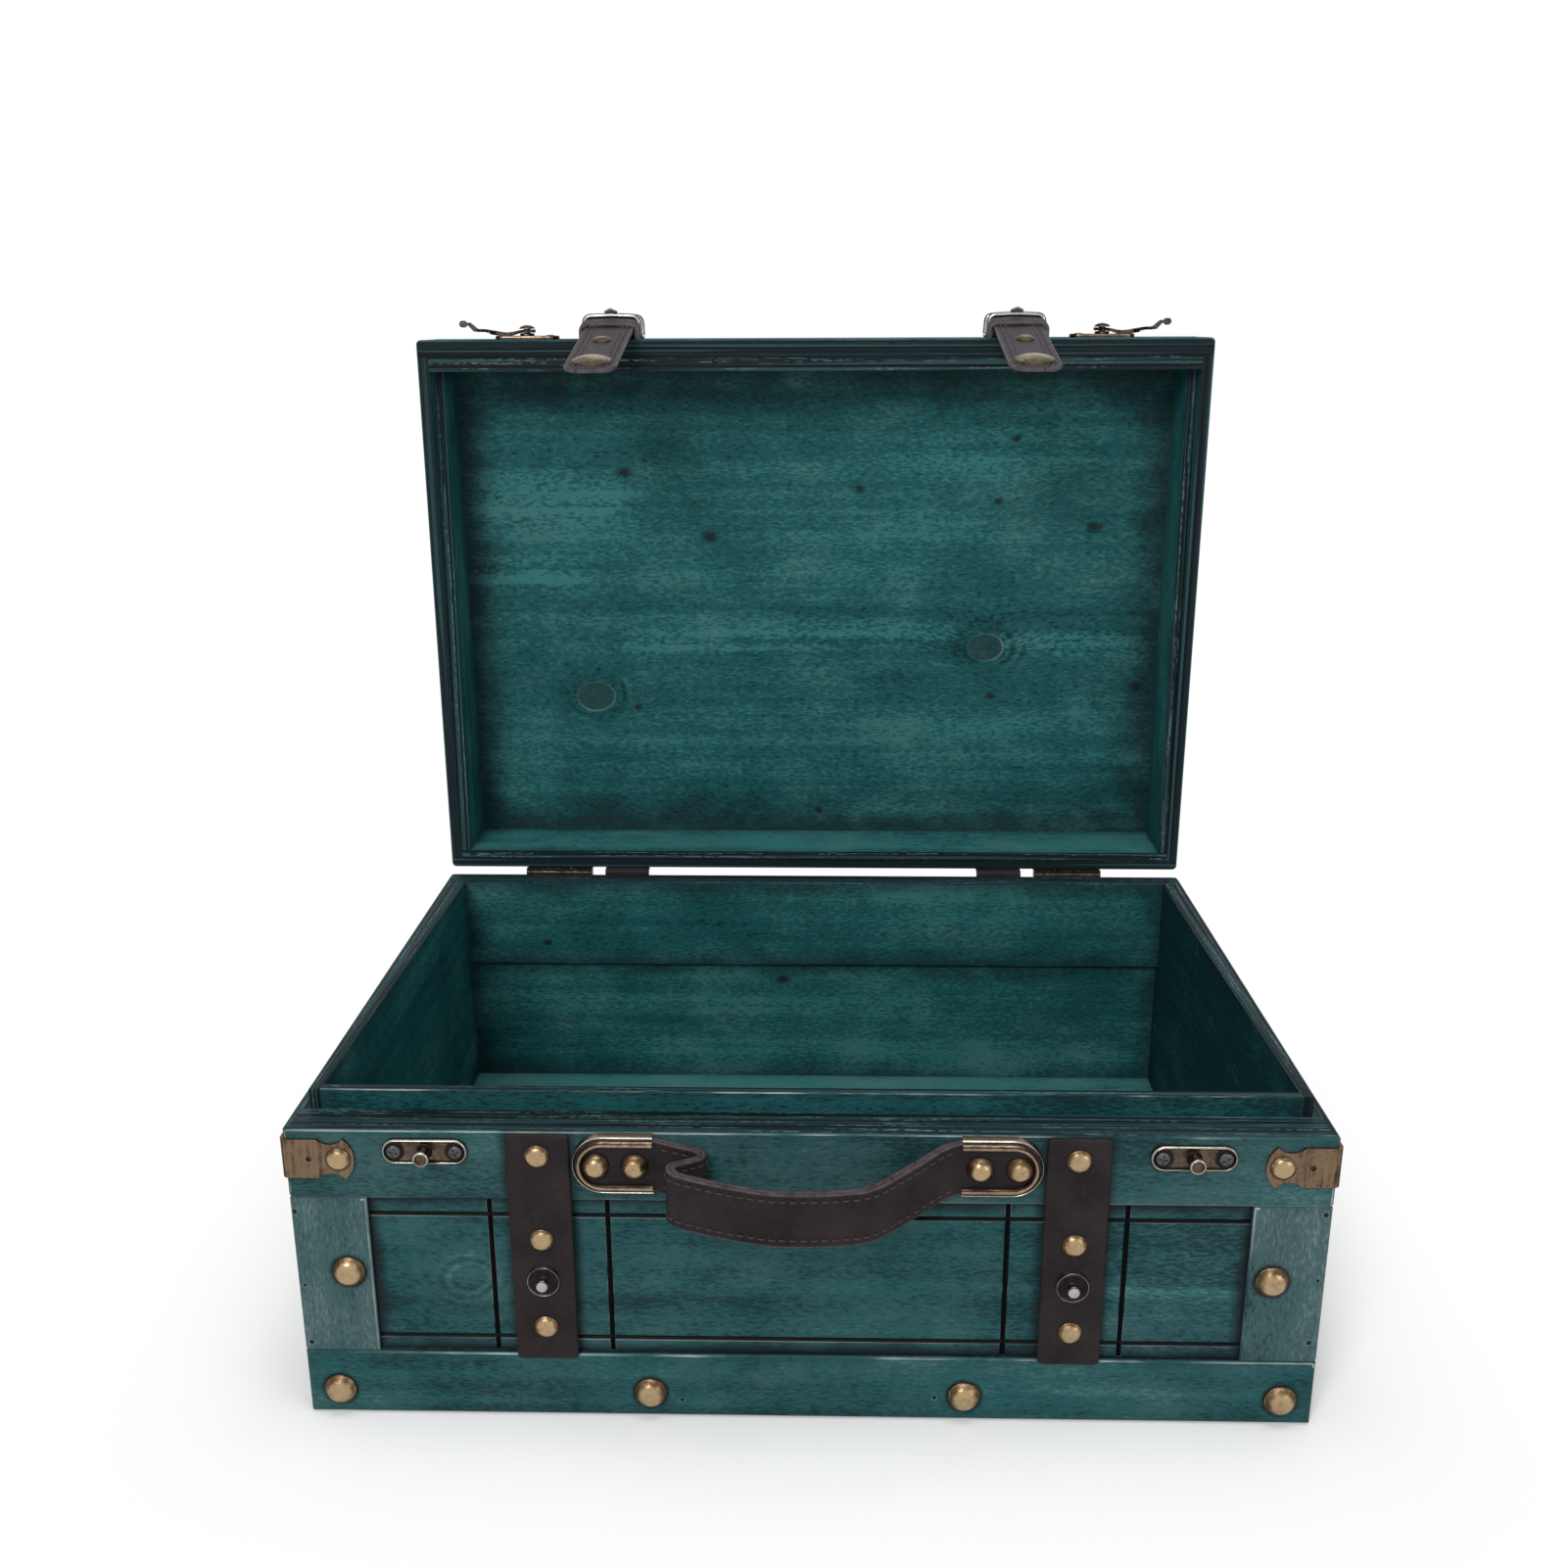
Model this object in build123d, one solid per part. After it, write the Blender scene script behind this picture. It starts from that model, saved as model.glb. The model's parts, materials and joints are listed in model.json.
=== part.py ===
"""Wooden suitcase box with a hinged lid, leather straps, snap flaps, hook latches and a carrying handle.

Millimetres, +Z up. The origin lies on the ground, under the middle of the base. The front faces -Y.
The lid is drawn shut and then swung about its hinge line to the open position.
"""
from build123d import *
import math
import os

# Whole case
CASE_WIDTH = 330.0
CASE_DEPTH = 232.0
BASE_HEIGHT = 105.5
LID_HEIGHT = 37.0
CLOSING_GAP = 0.4
LID_OPEN_ANGLE = 90.0

# Boards of the base: a thick front core, a thinner back and thin sides
FRONT_CORE_THICKNESS = 11.2
BACK_CORE_THICKNESS = 6.8
SIDE_CORE_THICKNESS = 3.3
RAIL_THICKNESS = 2.0
LINER_THICKNESS = 3.6
BACK_LINER_THICKNESS = 2.8
FLOOR_THICKNESS = 9.0
LIP_HEIGHT = 7.0
LIP_CLEARANCE = 0.5
BACK_LINER_HEIGHT = 39.5
ARRIS = 0.7
CORNER_ROUND = 1.9

# Rails and stiles planted on the outside
TOP_RAIL_WIDTH = 24.5
BOTTOM_RAIL_WIDTH = 24.0
STILE_WIDTH = 25.0

# Scored lines in the front field
SCORE_WIDTH = 1.9
SCORE_DEPTH = 1.1
SCORE_HEAD_MARGIN = 6.5
SCORE_FOOT_MARGIN = 5.0
SCORE_INSIDE_STRAP = 20.9
SCORE_OUTSIDE_STRAP = 16.8

# Boards of the lid
LID_PANEL_THICKNESS = 5.0
LID_FRONT_THICKNESS = 7.0
LID_BACK_THICKNESS = 3.9
LID_BACK_LINER_THICKNESS = 4.2
LID_SIDE_LINER_THICKNESS = 4.0

# Leather straps
STRAP_PLACE_SHARE = 0.512
STRAP_WIDTH = 20.0
STRAP_THICKNESS = 1.6
STRAP_TOP_DROP = 0.8
BACK_STRAP_TOP_DROP = 2.4
STRAP_FOOT_LAP = 0.7
STRAP_CORNER = 1.2

# Leather flap and the fold that holds it
FLAP_WIDTH = 20.4
FLAP_THICKNESS = 2.0
FLAP_TOE = 3.2
FLAP_CORNER = 6.5
FLAP_DROOP = 13.0
FLAP_STAND_OFF = 8.0
FOLD_THICKNESS = 1.6
FOLD_LENGTH = 20.0
BEND_ABOVE_RIM = 2.5
FLAP_ROOT_LENGTH = 8.5
BEND_CLEARANCE = 0.3
RIVET_SHARE = 0.335
STUD_HEIGHT_SHARE = 0.5

# Leather keeper round the flap's root
KEEPER_LENGTH = 6.0
KEEPER_LEATHER = 2.2
KEEPER_PLAY = 0.3
KEEPER_SHOULDER = 3.2

# Snap fastener
SNAP_CAP_DIAMETER = 15.0
SNAP_CAP_HEIGHT = 2.2
SOCKET_DIAMETER = 10.0
SOCKET_THICKNESS = 0.9
SOCKET_BORE = 5.8
STUD_FLANGE_DIAMETER = 10.8
STUD_FLANGE_THICKNESS = 0.8
STUD_NECK_DIAMETER = 3.6
STUD_BULB_DIAMETER = 4.6
STUD_BULB_LENGTH = 1.8
STUD_HEIGHT = 4.0

# Buckle on the lid
BUCKLE_WIRE = 2.2
BUCKLE_WIDTH = 25.4
BUCKLE_LENGTH = 13.0
BUCKLE_BEND = 2.6
BUCKLE_CLEARANCE = 0.3
PRONG_WIDTH = 2.4
PRONG_HEAD_WIDTH = 4.4
PRONG_THICKNESS = 1.4

# Domed tacks
LARGE_TACK_DIAMETER = 11.0
LARGE_TACK_HEIGHT = 3.0
SMALL_TACK_DIAMETER = 8.0
SMALL_TACK_HEIGHT = 1.7
TACK_EDGE = 0.5
RIVET_DIAMETER = 7.5
LOWER_TACK_SHARE = 0.392
CORNER_TACK_INSET = 10.7
STILE_TACK_INSET = 17.2
STILE_TACK_SHARE = 0.53
STRAP_TACK_DROP = 8.0
STRAP_MIDDLE_TACK_SHARE = 0.64
STRAP_FOOT_TACK_SHARE = 0.335

# Corner brackets
BRACKET_LENGTH = 22.6
BRACKET_HEIGHT = 13.6
BRACKET_THICKNESS = 0.9
BRACKET_DROP = 3.2
BRACKET_SHOULDER_LENGTH = 11.0
BRACKET_NECK_HEIGHT = 10.2
BRACKET_NECK_LENGTH = 14.6
BRACKET_FLARE_HEIGHT = 14.0
BRACKET_END_BULGE = 3.2
BRACKET_FOLD_ROUND = 1.5
BRACKET_TACK_FROM_CORNER = 17.5
BRACKET_HOLE_FROM_CORNER = 8.2
BRACKET_HOLE_DIAMETER = 1.8

# Handle plates
PLATE_FROM_STRAP = 0.8
PLATE_LENGTH = 25.6
PLATE_HEIGHT = 19.8
PLATE_SKIN = 1.5
PLATE_FRAME_WIDTH = 3.3
PLATE_EDGE_ROUND = 1.1
PLATE_SEAT_CLEARANCE = 0.3
HANDLE_DROP = 10.2
HANDLE_TACK_DIAMETER = 8.6
HANDLE_TACK_HEIGHT = 3.0
HANDLE_TACK_SPACING = 12.2
HANDLE_TACK_FROM_END = 5.7

# Handle band, bent in plan like an S on the left and a soft curve on the right
BAND_WIDTH = 18.0
BAND_THICKNESS = 3.0
BAND_SAG = 7.0
FOLD_TURN_SHARE = 0.58
FOLD_BACK_SHARE = 0.95
FOLD_BACK_REACH = 17.5
BOW_LEFT_SHARE = 0.21
BOW_REACH = 21.0
BOW_RIGHT_SHARE = 0.4
BOW_RIGHT_REACH = 20.0
BOW_LANDING_SHARE = 0.886
FOLD_TURN_RADIUS = 3.0
FOLD_BACK_RADIUS = 3.2
BOW_LEFT_RADIUS = 30.0
BOW_RIGHT_RADIUS = 15.0
BOW_LANDING_RADIUS = 12.0

# Hook latches
LATCH_PLACE_SHARE = 0.727
LATCH_PLATE_LENGTH = 27.0
LATCH_PLATE_HEIGHT = 8.6
LATCH_PLATE_THICKNESS = 0.8
LATCH_RIM_HEIGHT = 0.7
LATCH_RIM_WIDTH = 0.8
LATCH_SCREW_SPACING = 19.4
LATCH_SCREW_DIAMETER = 5.0
LATCH_SCREW_HEIGHT = 1.1
CATCH_DROP = 7.0
PIVOT_RISE = 9.5
PIVOT_BOSS_DIAMETER = 6.0
PIVOT_BOSS_TOP = 2.5
PIVOT_PIN_DIAMETER = 2.8
PIVOT_HEAD_DIAMETER = 6.6
PIVOT_HEAD_HEIGHT = 1.5
ARM_LIFT = 2.8
ARM_THICKNESS = 1.2
ARM_EYE_DIAMETER = 7.0
ARM_WIDTH = 3.4
ARM_CLEARANCE = 0.3
ARM_JAW_DIAMETER = 9.0
ARM_FINGER_START = 22.2
ARM_FINGER_LENGTH = 4.6
ARM_FINGER_RISE = 2.4
ARM_FINGER_WIDTH = 3.2
ARM_CURL_DIAMETER = 2.8
POST_DIAMETER = 3.6
POST_HEAD_DIAMETER = 5.2
POST_HEAD_LENGTH = 2.0
POST_HEAD_BEVEL = 0.6

# Butt hinges
HINGE_PLACE_SHARE = 0.7
HINGE_WIDTH = 30.0
KNUCKLE_RADIUS = 2.2
LEAF_THICKNESS = 1.0
LEAF_HEIGHT = 17.0
LEAF_CORNER = 1.5
PIN_RADIUS = 0.9
PIN_CLEARANCE = 0.08
KNUCKLE_GAP = 0.3
HINGE_SCREW_DIAMETER = 4.4
HINGE_SCREW_HEIGHT = 0.9
HINGE_SCREW_X = 9.5
HINGE_SCREW_DROP = 10.5

# Overrun of every cutting body
CUT_OVERRUN = 2.0

# Places worked out from the sizes above
FRONT_WALL = FRONT_CORE_THICKNESS + RAIL_THICKNESS
BACK_WALL = BACK_CORE_THICKNESS + RAIL_THICKNESS
SIDE_WALL = SIDE_CORE_THICKNESS + RAIL_THICKNESS
HALF_WIDTH = CASE_WIDTH / 2
HALF_DEPTH = CASE_DEPTH / 2
CORE_HALF_WIDTH = HALF_WIDTH - RAIL_THICKNESS
CORE_HALF_DEPTH = HALF_DEPTH - RAIL_THICKNESS
INNER_HALF_WIDTH = HALF_WIDTH - SIDE_WALL
INNER_FRONT_Y = -HALF_DEPTH + FRONT_WALL
INNER_BACK_Y = HALF_DEPTH - BACK_WALL
LID_RIM = BASE_HEIGHT + CLOSING_GAP
LID_TOP = LID_RIM + LID_HEIGHT
HINGE_Y = HALF_DEPTH + KNUCKLE_RADIUS
HINGE_Z = BASE_HEIGHT + CLOSING_GAP / 2
FLAP_SEAT = STRAP_THICKNESS + FOLD_THICKNESS
FLAP_MIDDLE = FLAP_SEAT + FLAP_THICKNESS / 2
BEND_Z = LID_RIM + BEND_ABOVE_RIM
FOLD_FOOT_Z = BEND_Z + FLAP_THICKNESS / 2 + BEND_CLEARANCE
BUCKLE_FOOT_Z = FOLD_FOOT_Z + KEEPER_LENGTH
PRESS_DROP = FLAP_ROOT_LENGTH * math.cos(math.radians(FLAP_STAND_OFF))
STUD_Z = BASE_HEIGHT * STUD_HEIGHT_SHARE
SNAP_FROM_PRESS_LINE = BEND_Z - PRESS_DROP - STUD_Z
FLAP_FOOT_Z = BEND_Z - FLAP_ROOT_LENGTH - SNAP_FROM_PRESS_LINE - SNAP_CAP_DIAMETER / 2 - FLAP_TOE
RIVET_Z = LID_RIM - (LID_RIM - FLAP_FOOT_Z) * RIVET_SHARE
STRAP_X = HALF_WIDTH * STRAP_PLACE_SHARE
LATCH_X = HALF_WIDTH * LATCH_PLACE_SHARE
HINGE_X = HALF_WIDTH * HINGE_PLACE_SHARE
HANDLE_Z = BASE_HEIGHT - HANDLE_DROP
PLATE_INNER_X = STRAP_X - STRAP_WIDTH / 2 - PLATE_FROM_STRAP - PLATE_LENGTH
CATCH_Z = BASE_HEIGHT - CATCH_DROP
PIVOT_Z = LID_RIM + PIVOT_RISE
ARM_CATCH_LENGTH = PIVOT_Z - CATCH_Z
LOWER_FIELD_Z = BOTTOM_RAIL_WIDTH
UPPER_FIELD_Z = BASE_HEIGHT - TOP_RAIL_WIDTH


def slab(low, high):
    """A plain board between two opposite corners."""
    size = [high[i] - low[i] for i in range(3)]
    middle = [(high[i] + low[i]) / 2 for i in range(3)]
    return Pos(*middle) * Box(*size)


def group(pieces):
    """Separate solids kept together in one node."""
    return Compound(children=[solid for piece in pieces for solid in piece.solids()])


def mirrored(piece):
    """The same piece on the other side of the case."""
    return group([solid.mirror(Plane.YZ) for solid in piece.solids()])


def front_at(x, z, proud=0.0):
    """Place on the front face: local x runs right, y up and z outward."""
    return Plane(origin=(x, -HALF_DEPTH - proud, z), x_dir=(1, 0, 0), z_dir=(0, -1, 0))


def back_at(x, z, proud=0.0):
    return Plane(origin=(x, HALF_DEPTH + proud, z), x_dir=(-1, 0, 0), z_dir=(0, 1, 0))


def right_at(y, z, proud=0.0):
    return Plane(origin=(HALF_WIDTH + proud, y, z), x_dir=(0, 1, 0), z_dir=(1, 0, 0))


def left_at(y, z, proud=0.0):
    return Plane(origin=(-HALF_WIDTH - proud, y, z), x_dir=(0, -1, 0), z_dir=(-1, 0, 0))


def top_at(x, y, proud=0.0):
    return Plane(origin=(x, y, LID_TOP + proud), x_dir=(1, 0, 0), z_dir=(0, 0, 1))


def opened(piece):
    """Swing a piece of the shut lid about the hinge line to where it stands open."""
    line = Axis((0, HINGE_Y, HINGE_Z), (1, 0, 0))
    return group([solid.rotate(line, -LID_OPEN_ANGLE) for solid in piece.solids()])


def drooped(piece):
    """Bend a piece of the flap about the line where the leather leaves its fold."""
    line = Axis((0, -HALF_DEPTH - FLAP_MIDDLE, BEND_Z), (1, 0, 0))
    return group([solid.rotate(line, FLAP_DROOP) for solid in piece.solids()])


def dome(diameter, height, edge=TACK_EDGE):
    """A shallow domed head with a short upright edge, seated on local z = 0."""
    radius = diameter / 2
    centre = (height**2 - edge**2 - radius**2) / (2 * (height - edge))
    ball = height - centre
    half = radius / 2
    rise = centre + math.sqrt(ball**2 - half**2)
    outline = Polyline((0, height), (0, 0), (radius, 0), (radius, edge))
    crown = ThreePointArc((radius, edge), (half, rise), (0, height))
    return revolve(Plane.XZ * make_face(outline + crown), Axis.Z)


# Base boards

def board_front():
    """Front core board with its scored lines."""
    board = slab((-CORE_HALF_WIDTH, -CORE_HALF_DEPTH, 0), (CORE_HALF_WIDTH, INNER_FRONT_Y, BASE_HEIGHT))
    for z in (LOWER_FIELD_Z + SCORE_FOOT_MARGIN, UPPER_FIELD_Z - SCORE_HEAD_MARGIN):
        board -= score((0, z), HALF_WIDTH - STILE_WIDTH, along_x=True)
    height = (UPPER_FIELD_Z - LOWER_FIELD_Z) / 2
    middle = (UPPER_FIELD_Z + LOWER_FIELD_Z) / 2
    for x in (STRAP_X + SCORE_OUTSIDE_STRAP, STRAP_X - SCORE_INSIDE_STRAP):
        for side in (-1, 1):
            board -= score((side * x, middle), height, along_x=False)
    return board


def score(centre, half_length, along_x):
    """A V-shaped cutter on the front core face."""
    face = make_face(Polyline((-SCORE_WIDTH / 2, 0), (SCORE_WIDTH / 2, 0), (0, -SCORE_DEPTH), close=True))
    cutter = extrude(face, half_length, both=True)
    turn = Rot(0, 0, 90) * Rot(90, 0, 0) if along_x else Rot(90, 0, 0)
    place = Plane(origin=(centre[0], -CORE_HALF_DEPTH, centre[1]), x_dir=(1, 0, 0), z_dir=(0, -1, 0))
    return place * turn * cutter


def board_back():
    return slab((-CORE_HALF_WIDTH, INNER_BACK_Y, 0), (CORE_HALF_WIDTH, CORE_HALF_DEPTH, BASE_HEIGHT))


def board_right():
    low = (INNER_HALF_WIDTH, INNER_FRONT_Y, 0)
    return slab(low, (CORE_HALF_WIDTH, INNER_BACK_Y, BASE_HEIGHT))


def floor_panel():
    low = (-INNER_HALF_WIDTH, INNER_FRONT_Y, 0)
    return slab(low, (INNER_HALF_WIDTH, INNER_BACK_Y, FLOOR_THICKNESS))


def planted(width, z0, z1, place, rounded=""):
    """A rail or stile planted on a core face, with eased outer edges, rounded at the case's own corners."""
    piece = Pos(0, (z0 + z1) / 2, -RAIL_THICKNESS / 2) * Box(width, z1 - z0, RAIL_THICKNESS)
    if rounded:
        piece = fillet([outer_ends(piece)[name] for name in rounded.split()], CORNER_ROUND)
    plain = [edge for name, edge in outer_ends(piece).items() if name not in rounded.split()]
    return place * chamfer(plain, ARRIS)


def outer_ends(piece):
    """The four border edges of a planted piece's outer face, by name."""
    outer = piece.faces().sort_by(Axis.Z)[-1].edges()
    by_x = outer.filter_by(Axis.Y).sort_by(Axis.X)
    by_y = outer.filter_by(Axis.X).sort_by(Axis.Y)
    return {"left": by_x[0], "right": by_x[-1], "foot": by_y[0], "head": by_y[-1]}


def rails(face, width, rounded=""):
    """Top and bottom rails of one side."""
    top = planted(width, UPPER_FIELD_Z, BASE_HEIGHT, face, rounded)
    bottom = planted(width, 0, LOWER_FIELD_Z, face, rounded + " foot")
    return top, bottom


def stiles(place_at, half_span, rounded=("", "")):
    """The two uprights between the rails of one side."""
    offset = half_span - STILE_WIDTH / 2
    span = (LOWER_FIELD_Z, UPPER_FIELD_Z)
    pairs = zip((-1, 1), rounded)
    return [planted(STILE_WIDTH, *span, place_at(side * offset, 0), ends) for side, ends in pairs]


def side_frame(place_at):
    """Rails and stiles of a short side, between the front and back rails."""
    span = 2 * CORE_HALF_DEPTH
    return group([*rails(place_at(0, 0), span), *stiles(place_at, CORE_HALF_DEPTH)])


# Liners that stand up as the locating lip

def liner_front():
    reach = INNER_HALF_WIDTH - LINER_THICKNESS
    low = (-reach, INNER_FRONT_Y, FLOOR_THICKNESS)
    board = slab(low, (reach, INNER_FRONT_Y + LINER_THICKNESS, BASE_HEIGHT + LIP_HEIGHT))
    return chamfer(board.edges().filter_by(Axis.X).group_by(Axis.Z)[-1], ARRIS / 2)


def side_board(x0, x1, outline):
    """A board with its faces at two x values, cut to an outline of (y, z) points."""
    section = Plane(origin=(x0, 0, 0), x_dir=(0, 1, 0), z_dir=(1, 0, 0))
    return extrude(section * make_face(Polyline(*outline, close=True)), x1 - x0)


def liner_right():
    """Its top edge falls from the lip's height at the front to the rim at the back."""
    top = BASE_HEIGHT + LIP_HEIGHT
    outline = [(INNER_FRONT_Y, FLOOR_THICKNESS), (INNER_FRONT_Y, top), (INNER_BACK_Y, BASE_HEIGHT),
               (INNER_BACK_Y, FLOOR_THICKNESS)]
    return side_board(INNER_HALF_WIDTH - LINER_THICKNESS, INNER_HALF_WIDTH, outline)


def liner_back():
    reach = INNER_HALF_WIDTH - LINER_THICKNESS
    low = (-reach, INNER_BACK_Y - BACK_LINER_THICKNESS, BASE_HEIGHT - BACK_LINER_HEIGHT)
    board = slab(low, (reach, INNER_BACK_Y, BASE_HEIGHT))
    return chamfer(board.edges().filter_by(Axis.X).group_by(Axis.Z)[0], ARRIS)


# Lid boards, drawn shut

LID_INNER_HALF_WIDTH = INNER_HALF_WIDTH + LIP_CLEARANCE
LID_LINER_FRONT_Y = INNER_FRONT_Y - LIP_CLEARANCE
LID_FRONT_Y = -HALF_DEPTH + LID_FRONT_THICKNESS
LID_BACK_Y = HALF_DEPTH - LID_BACK_THICKNESS
LID_LINER_BACK_Y = LID_BACK_Y - LID_BACK_LINER_THICKNESS
LID_WALL_TOP = LID_TOP - RAIL_THICKNESS
LID_PANEL_FOOT = LID_WALL_TOP - LID_PANEL_THICKNESS


def eased(board, outward):
    """Round the upright corners of an outer board and ease the long edges of its outer face."""
    upright = board.edges().filter_by(Axis.Z).group_by(Axis.Y)[-1 if outward > 0 else 0]
    board = fillet(upright, CORNER_ROUND)
    face = board.faces().sort_by(Axis.Y)[-1 if outward > 0 else 0]
    return chamfer(face.edges().filter_by(Axis.X), ARRIS)


def lid_front():
    return eased(slab((-HALF_WIDTH, -HALF_DEPTH, LID_RIM), (HALF_WIDTH, LID_FRONT_Y, LID_WALL_TOP)), -1)


def lid_back():
    return eased(slab((-HALF_WIDTH, LID_BACK_Y, LID_RIM), (HALF_WIDTH, HALF_DEPTH, LID_WALL_TOP)), 1)


def lid_right():
    low = (LID_INNER_HALF_WIDTH, LID_FRONT_Y, LID_RIM)
    board = slab(low, (HALF_WIDTH, LID_BACK_Y, LID_WALL_TOP))
    return chamfer(board.edges().filter_by(Axis.Y).group_by(Axis.X)[-1], ARRIS)


def lid_panel():
    low = (-LID_INNER_HALF_WIDTH, LID_FRONT_Y, LID_PANEL_FOOT)
    return slab(low, (LID_INNER_HALF_WIDTH, LID_BACK_Y, LID_WALL_TOP))


def lid_top_frame():
    """Long rails at front and back with stiles between them, planted on the lid."""
    parts = []
    for side in (-1, 1):
        y = side * (HALF_DEPTH - TOP_RAIL_WIDTH / 2)
        ends = "left right " + ("foot" if side < 0 else "head")
        parts.append(planted(CASE_WIDTH, -TOP_RAIL_WIDTH / 2, TOP_RAIL_WIDTH / 2, top_at(0, y), ends))
        x = side * (HALF_WIDTH - STILE_WIDTH / 2)
        half = HALF_DEPTH - TOP_RAIL_WIDTH
        parts.append(planted(STILE_WIDTH, -half, half, top_at(x, 0), "left" if side < 0 else "right"))
    return group(parts)


def lid_liner_front():
    """Second layer of the front wall, flush with it at the rim; the lip of the base stands inside it."""
    low = (-LID_INNER_HALF_WIDTH, LID_FRONT_Y, LID_RIM)
    return slab(low, (LID_INNER_HALF_WIDTH, LID_LINER_FRONT_Y, LID_PANEL_FOOT))


def lid_liner_back():
    low = (-LID_INNER_HALF_WIDTH, LID_LINER_BACK_Y, LID_RIM)
    return slab(low, (LID_INNER_HALF_WIDTH, LID_BACK_Y, LID_PANEL_FOOT))


def lid_liner_right():
    """Its free edge rises towards the front to make room for the lip of the base."""
    foot = LID_RIM + LIP_HEIGHT
    outline = [(LID_LINER_FRONT_Y, LID_PANEL_FOOT), (LID_LINER_FRONT_Y, foot), (LID_LINER_BACK_Y, LID_RIM),
               (LID_LINER_BACK_Y, LID_PANEL_FOOT)]
    return side_board(LID_INNER_HALF_WIDTH - LID_SIDE_LINER_THICKNESS, LID_INNER_HALF_WIDTH, outline)


# Straps

def base_front_strap(x):
    """Strap down the front, from just under the rim to the bottom rail."""
    top = BASE_HEIGHT - STRAP_TOP_DROP
    foot = LOWER_FIELD_Z - STRAP_FOOT_LAP
    outline = RectangleRounded(STRAP_WIDTH, top - foot, STRAP_CORNER)
    return front_at(x, (top + foot) / 2) * extrude(outline, STRAP_THICKNESS)


def base_back_strap(x):
    """Strap down the back, ending just under the rolled fold of the lid's strap."""
    top = BASE_HEIGHT - BACK_STRAP_TOP_DROP
    foot = LOWER_FIELD_Z - STRAP_FOOT_LAP
    outline = RectangleRounded(STRAP_WIDTH, top - foot, STRAP_CORNER)
    return back_at(x, (top + foot) / 2) * extrude(outline, STRAP_THICKNESS)


def lid_strap(x):
    """One strap over the lid: back run with its rolled fold, top run, front run and the buckle fold."""
    y_front = -HALF_DEPTH
    t = STRAP_THICKNESS
    fold_top = FOLD_FOOT_Z + FOLD_LENGTH
    outline = Polyline(
        (HALF_DEPTH, HINGE_Z),
        (HALF_DEPTH, LID_TOP),
        (y_front, LID_TOP),
        (y_front, FOLD_FOOT_Z),
        (y_front - FLAP_SEAT - FLAP_THICKNESS, FOLD_FOOT_Z),
        (y_front - FLAP_SEAT - FLAP_THICKNESS, fold_top - FLAP_THICKNESS),
        (y_front - FLAP_SEAT, fold_top),
        (y_front - t, fold_top + FOLD_THICKNESS),
        (y_front - t, LID_TOP + t / 2),
        (y_front - t / 2, LID_TOP + t),
        (HALF_DEPTH + t / 2, LID_TOP + t),
        (HALF_DEPTH + t, LID_TOP + t / 2),
        (HALF_DEPTH + t, HINGE_Z),
        close=True,
    )
    section = Plane(origin=(x, 0, 0), x_dir=(0, 1, 0), z_dir=(1, 0, 0)) * make_face(outline)
    strap = extrude(section, STRAP_WIDTH / 2, both=True)
    roll = Pos(x, HINGE_Y, HINGE_Z) * Rot(0, 90, 0) * Cylinder(KNUCKLE_RADIUS - BEND_CLEARANCE, STRAP_WIDTH)
    return strap + roll + keeper(x)


def keeper(x):
    """Leather loop that arches over the flap's root, with its foot strip under the strap."""
    inner_width = FLAP_WIDTH + 2 * KEEPER_PLAY
    inner_height = FLAP_SEAT + FLAP_THICKNESS + KEEPER_PLAY
    width = inner_width + 2 * KEEPER_LEATHER
    height = inner_height + KEEPER_LEATHER
    outer = Pos(0, height / 2) * Rectangle(width, height)
    outer = fillet(outer.vertices().group_by(Axis.Y)[-1], KEEPER_SHOULDER)
    tall = inner_height - STRAP_THICKNESS
    hollow = Pos(0, inner_height - tall / 2) * Rectangle(inner_width, tall)
    hollow = fillet(hollow.vertices().group_by(Axis.Y)[-1], KEEPER_SHOULDER - KEEPER_LEATHER)
    place = Plane(origin=(x, -HALF_DEPTH, BUCKLE_FOOT_Z), x_dir=(1, 0, 0), z_dir=(0, 0, -1))
    return place * extrude(outer - hollow, KEEPER_LENGTH)


# Flaps

def flap_strip(x, top, foot, foot_corner):
    """Leather strip hanging from a rounded edge at one bend line."""
    radius = FLAP_THICKNESS / 2
    middle = (top + foot) / 2
    half = (top - foot) / 2
    plate = Rectangle(FLAP_WIDTH, 2 * half)
    if foot_corner:
        plate = fillet(plate.vertices().group_by(Axis.Y)[0], foot_corner)
    body = front_at(x, middle, FLAP_SEAT) * extrude(plate, FLAP_THICKNESS)
    edge = Pos(x, -HALF_DEPTH - FLAP_MIDDLE, top) * Rot(0, 90, 0) * Cylinder(radius, FLAP_WIDTH)
    return body + edge


def flap_root(x):
    foot = BEND_Z - FLAP_ROOT_LENGTH + FLAP_THICKNESS / 2 + BEND_CLEARANCE
    return flap_strip(x, BEND_Z, foot, 0)


def flap_tip(x):
    top = BEND_Z - FLAP_ROOT_LENGTH
    strip = flap_strip(x, top, FLAP_FOOT_Z, FLAP_CORNER)
    bore = Cylinder(SOCKET_BORE / 2, 2 * FLAP_THICKNESS + CUT_OVERRUN)
    return strip - front_at(x, top - SNAP_FROM_PRESS_LINE, FLAP_SEAT) * bore


def snap_cap(x):
    """Domed cap outside the flap and the socket ring inside it."""
    z = BEND_Z - FLAP_ROOT_LENGTH - SNAP_FROM_PRESS_LINE
    cap = front_at(x, z, FLAP_SEAT + FLAP_THICKNESS) * dome(SNAP_CAP_DIAMETER, SNAP_CAP_HEIGHT)
    ring = extrude(Circle(SOCKET_DIAMETER / 2) - Circle(SOCKET_BORE / 2), SOCKET_THICKNESS)
    return group([cap, front_at(x, z, FLAP_SEAT - SOCKET_THICKNESS) * ring])


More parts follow.
